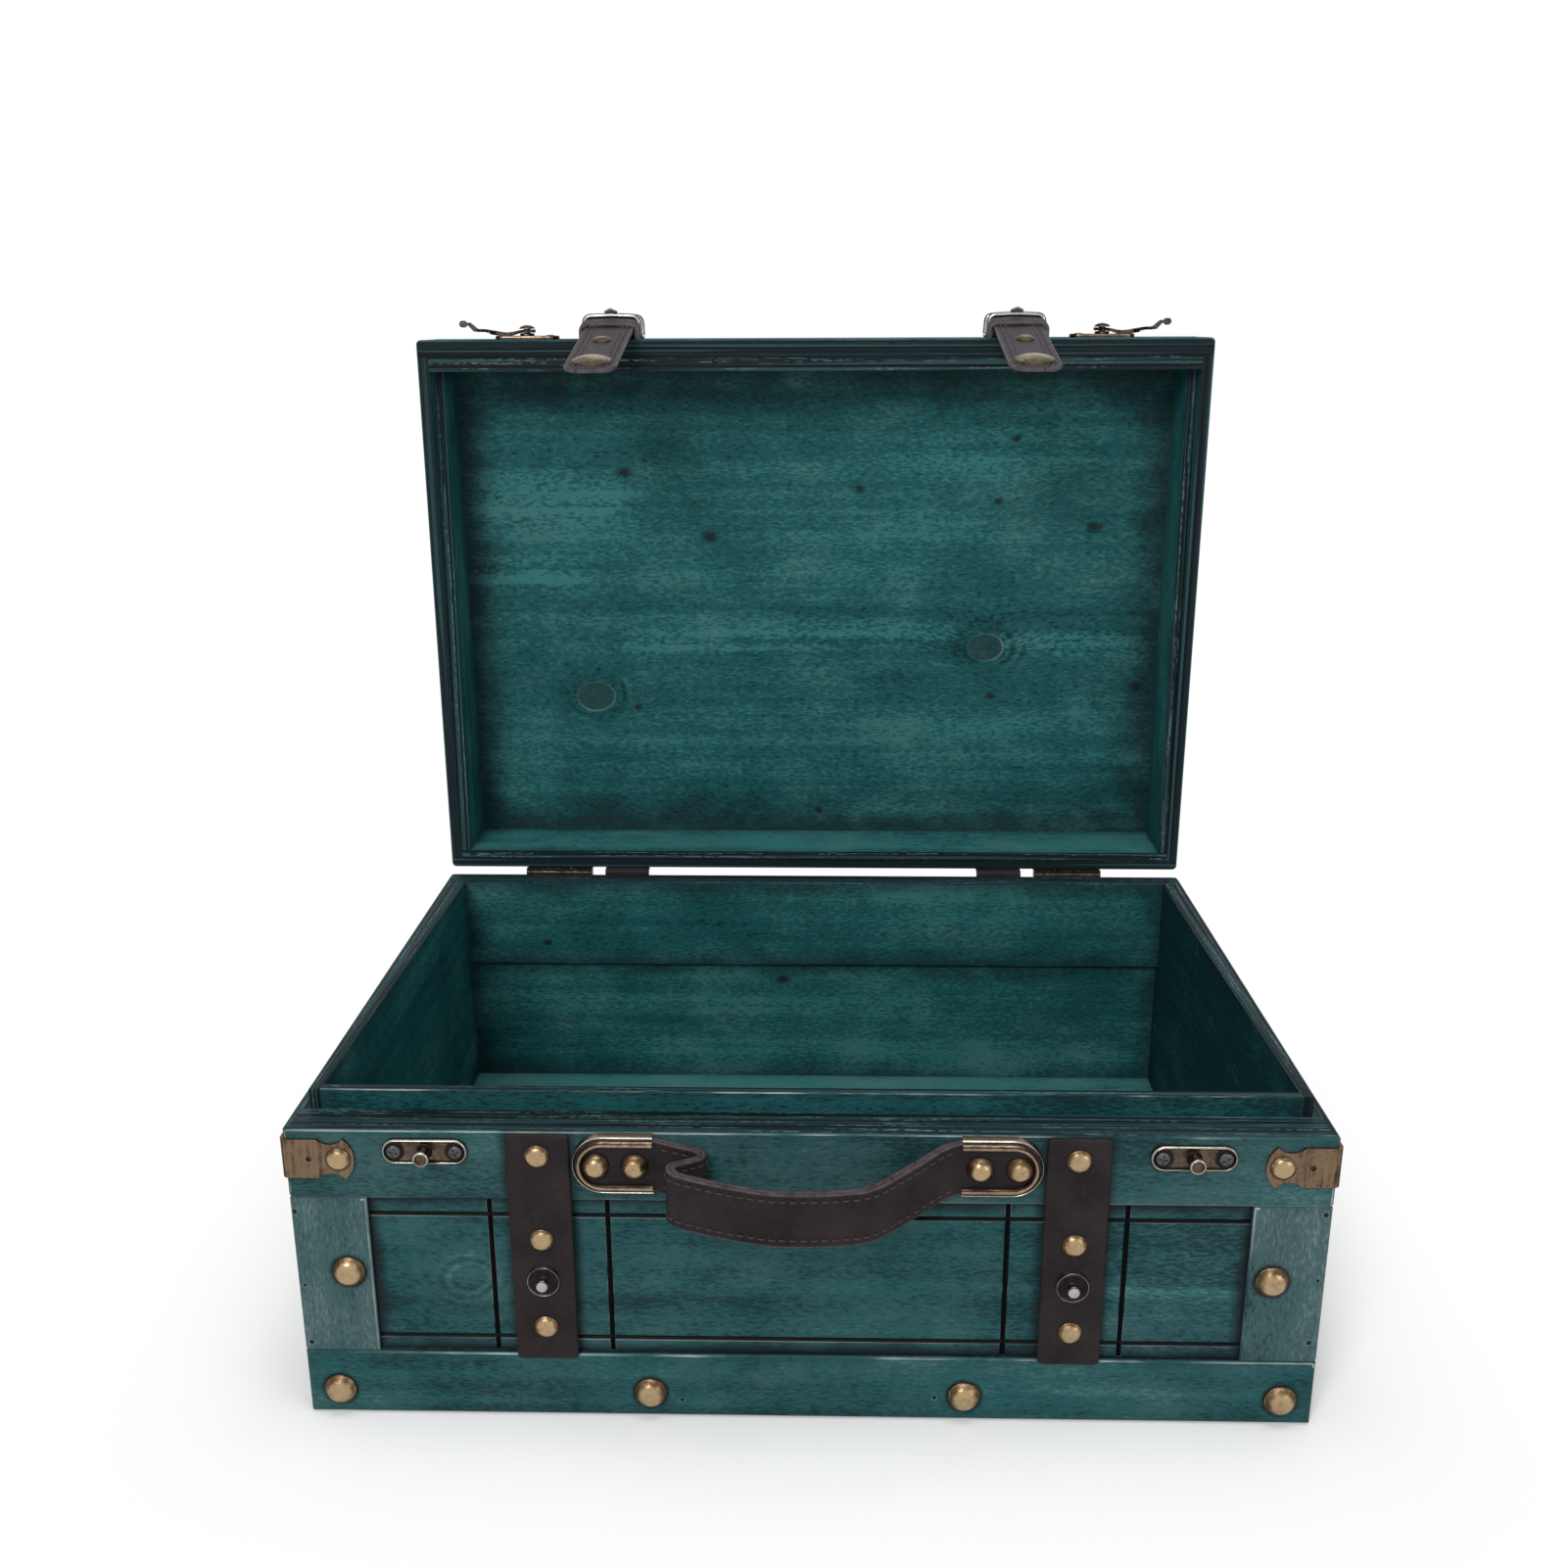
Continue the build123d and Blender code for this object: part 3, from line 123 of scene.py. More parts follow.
class Value:
    """What a node puts out; a sum written with it adds the nodes that work it out."""

    def __init__(self, tree, socket):
        self.tree, self.socket = tree, socket

    def math(self, operation, *entries, clamp=False):
        node = self.tree.nodes.new("ShaderNodeMath")
        node.operation, node.use_clamp = operation, clamp
        feed(node.inputs, entries)
        return Value(self.tree, node.outputs[0])

    __add__ = __radd__ = sum_with("ADD")
    __mul__ = __rmul__ = sum_with("MULTIPLY")
    __sub__, __truediv__ = sum_with("SUBTRACT"), sum_with("DIVIDE")
    __gt__, __lt__ = sum_with("GREATER_THAN"), sum_with("LESS_THAN")
    __abs__ = sum_with("ABSOLUTE")

    def __rsub__(self, other):
        return self.math("SUBTRACT", other, self)

    def ramp(self, start, end, first=0.0, last=1.0):
        """Ease from first to last as the value goes from start to end."""
        node = self.tree.nodes.new("ShaderNodeMapRange")
        node.interpolation_type = "SMOOTHSTEP"
        feed(node.inputs, (self, start, end, first, last))
        return Value(self.tree, node.outputs[0])


def feed(sockets, values):
    """Link each socket, or write a plain value into it."""
    for socket, value in zip(sockets, values):
        if isinstance(value, Value):
            value.tree.links.new(value.socket, socket)
        elif isinstance(value, tuple) and socket.type == "RGBA":
            socket.default_value = (*value, 1.0)
        else:
            socket.default_value = value


def least(a, b):
    return b.math("MINIMUM", a, b)


def most(a, b):
    return b.math("MAXIMUM", a, b)


def clamped(value):
    return value.math("ADD", value, 0.0, clamp=True)


class Look:
    """A node material, put together node by node."""

    def __init__(self, name):
        self.material = bpy.data.materials.new(name)
        self.material.use_nodes = True
        self.tree = self.material.node_tree
        self.shader = self.tree.nodes["Principled BSDF"]
        place = self.tree.nodes.new("ShaderNodeTexCoord")
        self.point, self.normal = (Value(self.tree, place.outputs[word]) for word in ("Object", "Normal"))

    def node(self, kind, inputs, values, output=0, **settings):
        """Add a node, set it up, feed its inputs and hand back one of its outputs."""
        node = self.tree.nodes.new("ShaderNode" + kind)
        for key, setting in settings.items():
            setattr(node, key, setting)
        feed([node.inputs[word] for word in inputs], values)
        return Value(self.tree, node.outputs[output])

    def vector(self, operation, a, b=(0.0, 0.0, 0.0)):
        output = "Value" if operation == "LENGTH" else 0
        return self.node("VectorMath", (0, 1), (a, b), output, operation=operation)

    def split(self, vector):
        node = self.tree.nodes.new("ShaderNodeSeparateXYZ")
        feed(node.inputs, [vector])
        return [Value(self.tree, output) for output in node.outputs]

    def join(self, x, y, z):
        return self.node("CombineXYZ", (0, 1, 2), (x, y, z))

    def noise(self, vector, scale, detail=2.0, roughness=0.5, distortion=0.0):
        inputs = ("Vector", "Scale", "Detail", "Roughness", "Distortion")
        return self.node("TexNoise", inputs, (vector, scale, detail, roughness, distortion), "Fac")

    def cells(self, vector, scale):
        return self.node("TexVoronoi", ("Vector", "Scale"), (vector, scale), "Distance")

    def mix(self, factor, a, b):
        return self.node("Mix", (0, 6, 7), (factor, a, b), 2, data_type="RGBA")

    def between(self, factor, a, b):
        return self.node("Mix", (0, 2, 3), (factor, a, b), data_type="FLOAT")

    def bump(self, height, strength, distance):
        return self.node("Bump", ("Height", "Strength", "Distance"), (height, strength, distance))

    def finish(self, colour, roughness, normal, metallic=0.0, specular=0.5):
        words = ("Base Color", "Roughness", "Normal", "Metallic", "Specular IOR Level")
        feed([self.shader.inputs[word] for word in words], (colour, roughness, normal, metallic, specular))
        return self.material


# Wood

AXES = "XYZ"

# Layers of grain and stain: marks per metre along and across the fibres, then detail, roughness and distortion

FIBRE = (380.0, 1500.0, 2.0, 0.6)
TICK = (330.0, 1900.0, 1.0)
STREAK = (5.0, 210.0, 1.0, 0.5, 0.2)
BAND = (2.2, 32.0, 2.0, 0.5, 0.3)
CLOUD = (10.0, 15.0, 4.0, 0.6, 0.4)
PATCH = (30.0, 42.0, 3.0, 0.6)
CRUMB = (420.0, 1500.0, 1.0)
SWIRL = 0.0045
BAND_FADE = 25.0
BAND_WANDER = 0.030
GLUE_WANDER = 0.0005


def layer(look, space, kind, coarse=1.0):
    along, across, *rest = kind
    return look.noise(look.vector("MULTIPLY", space, (along, across / coarse, across / coarse)), 1.0, *rest)


def oval_marks(look, along, across, places, stretch):
    """Distance from each place as a share of its radius, the nearest winning, and a push that bends the grain."""
    nearest, push = 9.0, 0.0
    for x, z, radius in places:
        offset = look.join((along - x * MM) * stretch, across - z * MM, 0.0)
        reach = look.vector("LENGTH", offset) / (radius * MM)
        push = push + reach.ramp(0.6, 4.2, 1.0, 0.0)
        nearest = least(nearest, reach)
    return nearest, push


def grain_space(look, parts, g, a, f, rails, seed):
    """Coordinates with x along the fibres; between the rails of a frame the boards stand upright."""
    space = look.join(parts[g], parts[a], parts[f])
    if rails:
        upright = (parts[2] > rails[0]) * (parts[2] < rails[1])
        turned = look.join(parts[a], parts[g], parts[f])
        space = look.node("Mix", (0, 4, 5), (upright, space, turned), 1, data_type="VECTOR")
    return look.vector("ADD", space, (0.37 * seed, 0.61 * seed, 0.13 * seed))


def stain(look, tone, tint):
    """Stain colours for a tone from 0 to 1, tinted from teal towards a rubbed grey."""
    deep, mid, light = (look.mix(tint, teal, grey) for teal, grey in zip(TEALS, GREYS))
    return look.mix(tone.ramp(0.50, 1.0), look.mix(tone.ramp(0.05, 0.52), deep, mid), light)


def ply_edge(look, space, streak, layered):
    """Cut edges of the board: dark layers, thin black seams and pale threads, plainer where layered is near 0."""
    x, _, z = look.split(space)
    kinds = ((5.0, 560.0, 0.0, 0.0), (2.0, 760.0, 3.1, 0.0), (26.0, 1300.0, 7.7, 2.0, 0.7))
    sheet, seam, pale = (look.noise(look.join(x * along, z * across, shift), 1.0, *rest)
                         for along, across, shift, *rest in kinds)
    colour = look.mix(sheet.ramp(0.60 - 0.24 * layered, 0.70 - 0.18 * layered), EDGE_DARK, EDGE_TEAL)
    colour = look.mix(streak.ramp(0.50, 0.62) * 0.4, colour, EDGE_DARK)
    crumb = layer(look, space, CRUMB).ramp(0.42, 0.56) * (0.05 + 0.75 * layered)
    colour = look.mix(pale.ramp(0.55, 0.62) * crumb, colour, EDGE_PALE)
    return look.mix(seam.ramp(0.38, 0.43, 0.9, 0.0), colour, EDGE_BLACK)


def wood(node, axes, seed, tint=0.0, lift=0.0, knots=(), pins=(), nails=(), rails=None, groove=None, window=None,
         border_stain_and_shade=0.35, reach=0.005, bands=(), rubbed=None, rub=1.0, hearts=True, layered=0.4, seams=(), beside=(),
         domes=(), grit=0.20, clouds=0.90, coarse=1.25):
    """Stained board: fine fibres along the grain, soft bands and clouds of stain, ply edges and rubbed arrises.

    axes are the letters of the grain and of the face. rails gives the two heights between which the boards of a frame
    stand upright. tint greys the stain, lift lightens it, and groove is the depth past which scored lines are black;
    arrises near that depth that face upward get a painted highlight. window is the seen part of a board, as lowest
    and highest across, then along; border_stain_and_shade and reach say how strongly and how far its borders darken,
    painted shade and stain together. rubbed is the part where arrises are pale, in the same order, and rub how
    strongly.
    Without hearts, knots only swirl the grain. layered is how clearly the cut edges show their sheets, and seams are
    depths of black glue lines, from the outer face. beside lists straps and domes tack heads, round which the board is
    darkened by painted shadow and stain.
    grit is how dark the fine dashes are, coarse how wide the fibres and clouds how blotchy the stain, and bands are
    (middle, half width, lightening, start, end) in millimetres.
    """
    look = Look(f"wood_{node}")
    parts = look.split(look.point)
    lowest, highest = low(node), high(node)
    g, f = (AXES.index(letter) for letter in axes)
    a = 3 - g - f
    along, across, depth = parts[g], parts[a], parts[f]
    space = grain_space(look, parts, g, a, f, rails, seed)
    knot, push = oval_marks(look, along, across, knots, 0.78)
    pin, _ = oval_marks(look, along, across, pins, 0.70)
    nail, _ = oval_marks(look, along, across, nails, 1.0)
    dome, _ = oval_marks(look, along, across, domes, 1.0)

    # Fibres, ticks, bands and clouds
    bent = look.vector("ADD", space, look.join(0.0, push * SWIRL, 0.0))
    fibre, tick = layer(look, bent, FIBRE, coarse), layer(look, bent, TICK, coarse)
    streak, band = layer(look, bent, STREAK), layer(look, bent, BAND)
    cloud, patch = layer(look, space, CLOUD), layer(look, space, PATCH)
    tone = 0.5 + lift
    for part, weight in ((fibre, 0.95), (streak, 0.46), (band, 0.60), (cloud, clouds), (patch, 0.60)):
        tone = tone + (part - 0.5) * weight
    tone = tone + tick.ramp(0.48, 0.66, grit * 0.3, -grit)
    for centre, width, amount, start, end in bands:
        off = abs(across - centre * MM + (band - 0.5) * BAND_WANDER)
        here = along.ramp((start - BAND_FADE) * MM, start * MM) * along.ramp(end * MM, (end + BAND_FADE) * MM, 1.0, 0.0)
        here = here * (streak + fibre).ramp(0.75, 1.25, 0.2, 1.6)
        tone = tone + off.ramp(0.0, width * MM, amount, 0.0) * here
    tint = clamped(clamped((patch - 0.5) * 0.9 + tint) + (tick - 0.5) * 0.8)

    # Knots: a flat dark heart, a thin pale rim and a dark halo; pin knots and nail holes
    if knots:
        tone = tone + knot.ramp(1.0, 2.8, -0.22 if hearts else -0.05, 0.0)
        turned = knot + cloud * 1.6 + patch * 1.2
        arcs = turned.math("SINE", turned * 10.0) * patch.ramp(0.46, 0.58) * knot.ramp(0.5, 1.0)
        tone = tone + arcs * knot.ramp(1.0, 2.8, 0.26 if hearts else 0.16, 0.0)
    colour = stain(look, tone, tint)
    if knots and hearts:
        heart = look.mix((fibre + cloud).ramp(0.8, 1.2), KNOT_DARK, KNOT_MID)
        colour = look.mix(knot.ramp(0.90, 1.0, 1.0, 0.0), colour, heart)
        rim = abs(knot - 1.0).ramp(0.02, 0.10, 0.75, 0.0) * patch.ramp(0.40, 0.58, 0.25, 1.0)
        colour = look.mix(rim, colour, KNOT_RIM)
    if pins:
        colour = look.mix(pin.ramp(1.0, 3.2, 0.40, 0.0), colour, TEALS[0])
        ragged = pin + (look.noise(look.point, 1100.0, 2.0, 0.6) - 0.5) * 2.6
        colour = look.mix(ragged.ramp(0.35, 1.35, 0.9, 0.0), colour, CHARCOAL)
        colour = look.mix(abs(ragged - 1.75).ramp(0.10, 0.40, 0.3, 0.0), colour, TEALS[2])
    if nails:
        colour = look.mix(abs(nail - 1.35).ramp(0.1, 0.4, 0.4, 0.0), colour, GREYS[2])
        colour = look.mix(nail.ramp(0.85, 1.1, 1.0, 0.0), colour, CHARCOAL)

    # Painted shade and stain darken the borders and round what lies on the board, and the joints are stained dark
    side_low, side_high, end_low, end_high = window or (lowest[a], highest[a], lowest[g], highest[g])
    rind = least(least(across - side_low, side_high - across), least(along - end_low, end_high - along))
    rind = rind + (patch - 0.5) * (reach * 1.6)
    shade_and_stain = [rind.ramp(0.0, reach, border_stain_and_shade, 0.0)]
    shade_and_stain += [(abs(along - place) - STRAP_HALF * MM).ramp(0.0002, 0.0036, 0.62, 0.0) for place in beside]
    if domes:
        shade_and_stain.append(dome.ramp(0.98, 1.30, 0.70, 0.0))
    if rails:
        joint = least(abs(parts[2] - rails[0]), abs(parts[2] - rails[1]))
        shade_and_stain.append(joint.ramp(0.0003, 0.0011, 0.9, 0.0))
    for shade in shade_and_stain:
        colour = look.mix(shade, colour, CHARCOAL)

    # Cut edges show their layers; the outermost arris is rubbed pale in broken stretches
    facing = abs(look.split(look.normal)[f])
    edge = ply_edge(look, space, streak, layered)
    outer = max(highest[f], lowest[f], key=abs)
    for place in seams:
        gap = abs(depth - outer) - place * MM + (patch - 0.5) * GLUE_WANDER
        edge = look.mix(abs(gap).ramp(0.00014, 0.00042, 0.95, 0.0), edge, EDGE_BLACK)
    colour = look.mix(facing.ramp(0.30, 0.42, 1.0, 0.0), colour, edge)
    skin = least(abs(depth - lowest[f]), abs(highest[f] - depth))
    worn = facing.ramp(0.30, 0.45) * facing.ramp(0.90, 0.985, 1.0, 0.0) * skin.ramp(0.00030, 0.00045, rub, 0.0)
    if rubbed:
        worn = worn * (across > rubbed[0]) * (across < rubbed[1]) * (along > rubbed[2]) * (along < rubbed[3])
    broken = patch * 0.6 + streak * 0.6
    colour = look.mix(worn * broken.ramp(0.52, 0.72), colour, RUBBED_AND_HIGHLIGHT)
    if groove is not None:
        sunk, scored = abs(depth - groove), across < side_high
        colour = look.mix(sunk.ramp(0.00002, 0.00012) * scored, colour, EDGE_BLACK)
        # Painted highlight: upward-facing arrises near the face are lightened as if catching light from above
        groove_painted_highlight = look.split(look.normal)[2].ramp(0.25, 0.55) * sunk.ramp(0.00024, 0.00032, 0.14, 0.0) * scored
        colour = look.mix(groove_painted_highlight * broken.ramp(0.42, 0.60), colour, RUBBED_AND_HIGHLIGHT)

    height = fibre * 0.8 + tick * 0.6
    if knots:
        height = height + knot.ramp(0.9, 1.1, 0.0, 0.5)
    return look.finish(colour, cloud * 0.25 + fibre * 0.2 + 0.36, look.bump(height, 0.40, 0.00022), specular=0.10)


# Leather and metal


def leather(name, tones=(LEATHER_DARK, LEATHER_MID, LEATHER_WORN), worn=0.0, cut=0.0):
    """Leather with a pebbled grain, creases and a little wear; cut edges are paler and streaked."""
    dark, mid, pale = tones
    look = Look(name)
    pebble = look.cells(look.point, 1500.0)
    fine = look.noise(look.point, 2600.0, 2.0, 0.6)
    crease = look.noise(look.point, 260.0, 4.0, 0.7, 0.8)
    cloud = look.noise(look.point, 70.0, 4.0, 0.6)
    colour = look.mix((cloud * 0.7 + fine * 0.4).ramp(0.35, 0.75), dark, mid)
    colour = look.mix((crease + worn * 0.30).ramp(0.55, 0.95) * (0.25 + worn * 0.6), colour, pale)
    if cut:
        colour = look.mix((crease + fine * 0.4).ramp(0.48, 0.82, 0.15, cut), colour, LEATHER_CUT)
    normal = look.bump(pebble * -0.9 + crease * 0.8, 0.40, 0.0002)
    return look.finish(colour, cloud * 0.18 + pebble * 0.15 + 0.40, normal, specular=0.14)


def metal(name, bright, dark, age, rough, brushed=(1.0, 1.0, 1.0), marked=0.30, slope_patina_and_shade=0.55, specks=0.35, dents=0.22):
    """Plated metal: a painted highlight where it faces square to an axis, and dark on slopes and in hollows, partly
    patina and partly painted shade; with stains, pits and rubs.
    """
    look = Look(name)
    x, y, z = look.split(look.vector("ABSOLUTE", look.normal))
    cloud = look.noise(look.point, 190.0, 4.0, 0.6, 0.5)
    speck = look.noise(look.point, 1500.0, 3.0, 0.6)
    rub = look.noise(look.vector("MULTIPLY", look.point, brushed), 700.0, 3.0, 0.55)
    # Painted highlight and shade: tone rises where the face is square to an axis and falls on slopes, partly patina
    tone = most(x, most(y, z)).ramp(0.70, 0.985, 0.0, slope_patina_and_shade) + cloud * 0.70 + speck * specks + rub * marked
    shine = tone.ramp(0.45 + age * 0.45, 1.0 + age * 0.45)
    pits = look.noise(look.point, 900.0, 2.0, 0.5).ramp(0.30, 0.42)
    normal = look.bump(rub * 0.5 + pits + cloud * 1.5, dents, 0.00012)
    return look.finish(look.mix(shine, dark, bright), look.between(shine, rough + 0.22, rough), normal, 1.0)


def thread(name, dark, pale):
    look = Look(name)
    twist = look.noise(look.point, 3000.0, 1.0, 0.5)
    return look.finish(look.mix(twist.ramp(0.35, 0.7), dark, pale), 0.75, look.bump(twist, 0.3, 0.0001))


def plating(name, bright, rough):
    """A rubbed lip or a dark hollow of a pressed fitting."""
    look = Look(name)
    speck = look.noise(look.point, 1700.0, 3.0, 0.6)
    tone = look.noise(look.point, 260.0, 3.0, 0.6) * 0.7 + speck * 0.5
    colour = look.mix(tone.ramp(0.35, 0.85), tuple(c * 0.55 for c in bright), bright)
    return look.finish(colour, look.between(tone, rough + 0.1, rough), look.bump(speck, 0.15, 0.0001), 1.0)


# Places of knots, pin knots and nail holes: along the grain, across it and radius, in millimetres

FRONT_KNOTS = ((-109.4, 51.1, 5.0),)
BACK_PINS = ((-13.1, 58.0, 1.8),)
BACK_LINER_PINS = ((-120.4, 76.6, 1.3),)
LID_KNOTS = ((-100.1, 181.1, 6.8), (78.3, 204.3, 6.3))
LID_PINS = ((-84.0, 282.7, 2.0), (-46.2, 254.6, 2.2), (20.6, 275.3, 1.5), (124.6, 258.8, 2.0), (88.8, 297.2, 1.4),
            (82.1, 270.0, 1.2), (147.7, 186.6, 1.6), (2.8, 126.3, 1.3), (-80.8, 176.0, 1.1), (81.3, 181.4, 1.4))
STILE_NAILS = ((76.0, -163.4, 0.8), (48.9, -162.6, 0.55), (27.3, -162.4, 0.8), (78.5, 162.6, 0.8), (54.7, 162.3, 0.6),
               (31.6, 161.6, 0.8))
RAIL_NAILS = ((-41.1, 6.7, 0.7), (41.8, 8.8, 0.7))

# Pale bands: middle, half width, lightening, start and end, in millimetres

FRONT_BANDS = ((55.0, 24.0, 0.22, 85.0, 165.0),)
LID_BANDS = ((203.5, 8.0, 0.42, 88.0, 135.0), (207.5, 9.0, 0.34, -70.0, 55.0), (238.0, 17.0, 0.44, -150.0, -122.0),
             (272.0, 15.0, 0.38, -150.0, -96.0), (292.0, 10.0, 0.16, 40.0, 110.0))
RUBBED_LINE = 0.002

LEATHER = leather("dark_leather_face")
LEATHER_EDGE = leather("burnished_edge", worn=0.5, cut=0.75)
# The flap and keeper take a painted-light copy of the strap leather
FLAP_LEATHER_PAINTED_LIGHT = leather("flap_leather_painted_light", (FLAP_LIT_DARK, FLAP_LIT_MID, FLAP_LIT_WORN), worn=0.30)
FLAP_EDGE_PAINTED_LIGHT = leather("flap_edge_painted_light", (FLAP_LIT_MID, FLAP_LIT_MID, FLAP_LIT_WORN), worn=0.9)
THREAD_LOOK = thread("stitch_thread", LEATHER_DARK, THREAD)
FLAP_THREAD_PAINTED_LIGHT = thread("flap_thread_painted_light", FLAP_LIT_DARK, FLAP_LIT_THREAD)
LIP_METAL = plating("rubbed_lip", (0.43, 0.39, 0.33), 0.22)
DARK_METAL = plating("dark_hollow", (0.030, 0.026, 0.024), 0.40)
PRONG = plating("nickel_prong", (0.72, 0.70, 0.72), 0.48)
CAP_BRASS = metal("brass_cap", (0.330, 0.285, 0.180), (0.060, 0.044, 0.026), 0.95, 0.28)
BRASS = metal("brass_tack", BRASS_BRIGHT, BRASS_DARK, 0.40, 0.22, marked=0.45, slope_patina_and_shade=0.42, specks=0.30, dents=0.10)
PLATE_BRONZE = metal("bronze_plate", (0.150, 0.112, 0.080), (0.016, 0.011, 0.009), 1.00, 0.30)
BRONZE = metal("bronze_fitting", BRONZE_BRIGHT, BRONZE_DARK, 0.70, 0.30)
DARK_BRONZE = metal("dark_bronze_casting", (0.135, 0.108, 0.090), (0.007, 0.006, 0.006), 1.10, 0.28)
COPPER = metal("copper_sheet", COPPER_BRIGHT, COPPER_DARK, 1.60, 0.38, brushed=(1.2, 1.2, 0.10), marked=0.95)
NICKEL = metal("nickel_wire", NICKEL_BRIGHT, NICKEL_DARK, 0.60, 0.24)
STEEL = metal("blackened_screw", STEEL_BRIGHT, STEEL_DARK, 0.45, 0.38)


def give(material, *names):
    """Put one material on whole CAD nodes."""
    for name in names:
        mesh = frame["nodes"][name].data
        mesh.materials.clear()
        mesh.materials.append(material)


def dress_boards():
    """Every board has its own piece of timber, with the grain along its length."""
    rail = BASE_TOP - UPPER_FIELD
    stile_inner = HALF_WIDTH - islands("base_front_stiles")[0][1].x * MM
    side = high("base_right_liner").x - islands("base_right_liner")[0][1].x * MM
    lid_side = high("lid_side_liners").x - islands("lid_side_liners")[0][1].x * MM
    field = (LOWER_FIELD, UPPER_FIELD, -stile_inner, stile_inner)
    ground = (high("base_front_liner").y, low("base_back_board").y, -side, side)
    panel = (high("lid_back_liner").z, low("lid_front_liner").z, -lid_side, lid_side)
    behind = (high("base_floor_panel").z, low("base_back_liner").z, -side, side)
    glued = dict(seams=(2.0, 4.3, 7.3, 9.3))
    strapped = dict(beside=(-STRAP_X, STRAP_X))
    # Painted shade darkens the borders of the inside boards, in the corners of the case
    inside = dict(border_stain_and_shade=0.55, reach=0.010, layered=0.9, rub=0.6, coarse=1.7)
    framed = dict(tint=0.4, rails=(LOWER_FIELD, UPPER_FIELD))
    lid_rails = (low("lid_top_frame").z + rail, high("lid_top_frame").z - rail)
    rim = dict(tint=0.2, layered=0.0, rub=0.1, seams=(6.75,))
    lining = dict(reach=0.008, layered=0.8, rub=0.3, seams=(0.2, 3.6), coarse=1.7)
    front_tacks = [(c, max(size) / 2) for c, size in islands("rail_tacks") if c.y < FRONT + 1.0]
    stile_tacks = [(c.z, c.x, radius) for c, radius in front_tacks if c.z * MM > LOWER_FIELD]
    rail_tacks = [(c.x, c.z, radius) for c, radius in front_tacks if c.z * MM < LOWER_FIELD]
    boards = [
        # Painted shadow under the top rail and beside the stiles, with stain, darkens the field's borders
        ("base_front_board", "XY", dict(tint=0.30, lift=-0.16, groove=low("base_front_board").y, grit=0.08, border_stain_and_shade=0.9,
                                        window=field, bands=FRONT_BANDS, knots=FRONT_KNOTS, hearts=False, layered=1.0,
                                        **glued, **strapped)),
        ("base_back_board", "XY", dict(lift=0.20, window=behind, pins=BACK_PINS, **glued, **inside)),
        ("base_right_board", "YX", dict(layered=1.0, **glued)),
        ("base_left_board", "YX", dict(layered=1.0, **glued)),
        ("base_floor_panel", "XZ", dict(lift=0.62, window=ground, tint=0.15, border_stain_and_shade=0.2, reach=0.004, coarse=1.7)),
        ("base_front_liner", "XY", dict(lift=-0.17, layered=0.9)),
        ("base_back_liner", "XY", dict(lift=0.14, pins=BACK_LINER_PINS, **inside)),
        # Painted shade: this liner is darkened as the right inner wall lies in deeper shade than the left
        ("base_right_liner", "YX", dict(lift=-0.48, **inside)),
        ("base_left_liner", "YX", dict(lift=0.02, **inside)),
        ("base_front_top_rail", "XY", dict(tint=0.45, lift=-0.10, layered=1.0, grit=0.10, rub=0.75, border_stain_and_shade=0.2,
                                           **strapped)),
        ("base_front_bottom_rail", "XY", dict(tint=0.25, lift=-0.02, nails=RAIL_NAILS, domes=rail_tacks, border_stain_and_shade=0.2,
                                              grit=0.09, rubbed=(LOWER_FIELD - RUBBED_LINE, 1.0, -1.0, 1.0))),
        ("base_front_stiles", "ZY", dict(tint=0.85, lift=0.03, nails=STILE_NAILS, domes=stile_tacks, border_stain_and_shade=0.15,
                                         grit=0.14, rubbed=(-stile_inner - RUBBED_LINE, stile_inner + RUBBED_LINE,
                                                            -1.0, 1.0))),
        *[(f"base_{word}_frame", axes, framed) for word, axes in (("back", "XY"), ("right", "YX"), ("left", "YX"))],
        *[(f"lid_{word}_board", "XZ", rim) for word in ("front", "back")],
        *[(f"lid_{word}_board", "ZX", rim) for word in ("right", "left")],
        # Painted shade: broad dark borders on the lid panel, under its rim and beside its side walls
        ("lid_panel", "XY", dict(window=panel, border_stain_and_shade=0.72, reach=0.021, lift=0.10, grit=0.24, clouds=0.50, coarse=1.8,
                                 knots=LID_KNOTS, pins=LID_PINS, bands=LID_BANDS)),
        ("lid_top_frame", "XY", dict(tint=0.4, rails=lid_rails)),
        ("lid_front_liner", "XZ", dict(lift=0.12, **lining)),
        ("lid_back_liner", "XZ", dict(lift=0.30, **lining)),
        ("lid_side_liners", "ZX", dict(lift=0.12, **lining)),
    ]
    for seed, (node, axes, settings) in enumerate(boards, start=1):
        give(wood(node, axes, seed, **settings), node)
        round_off(frame["nodes"][node], BOARD_ARRIS)


BOARD_ARRIS = 0.25


def round_off(item, width, segments=2):
    """Round the sharp edges of a piece a little."""
    bevel = item.modifiers.new("soft_edges", "BEVEL")
    bevel.width, bevel.segments, bevel.limit_method = width * MM, segments, "ANGLE"
    bevel.angle_limit = math.radians(38)
    bevel.harden_normals = True


def dress_metal():
    give(CAP_BRASS, "left_snap_cap", "right_snap_cap")
    give(COPPER, "left_corner_bracket", "right_corner_bracket")
    leaves = [f"{side}_hinge_{part}_leaf" for part in ("base", "lid") for side in ("left", "right")]
    give(DARK_BRONZE, *leaves, "hinge_pins")


# Shapes, gathered in millimetres

ACROSS = Vector((1.0, 0.0, 0.0))
BACKWARD = Vector((0.0, 1.0, 0.0))
UPWARD = Vector((0.0, 0.0, 1.0))


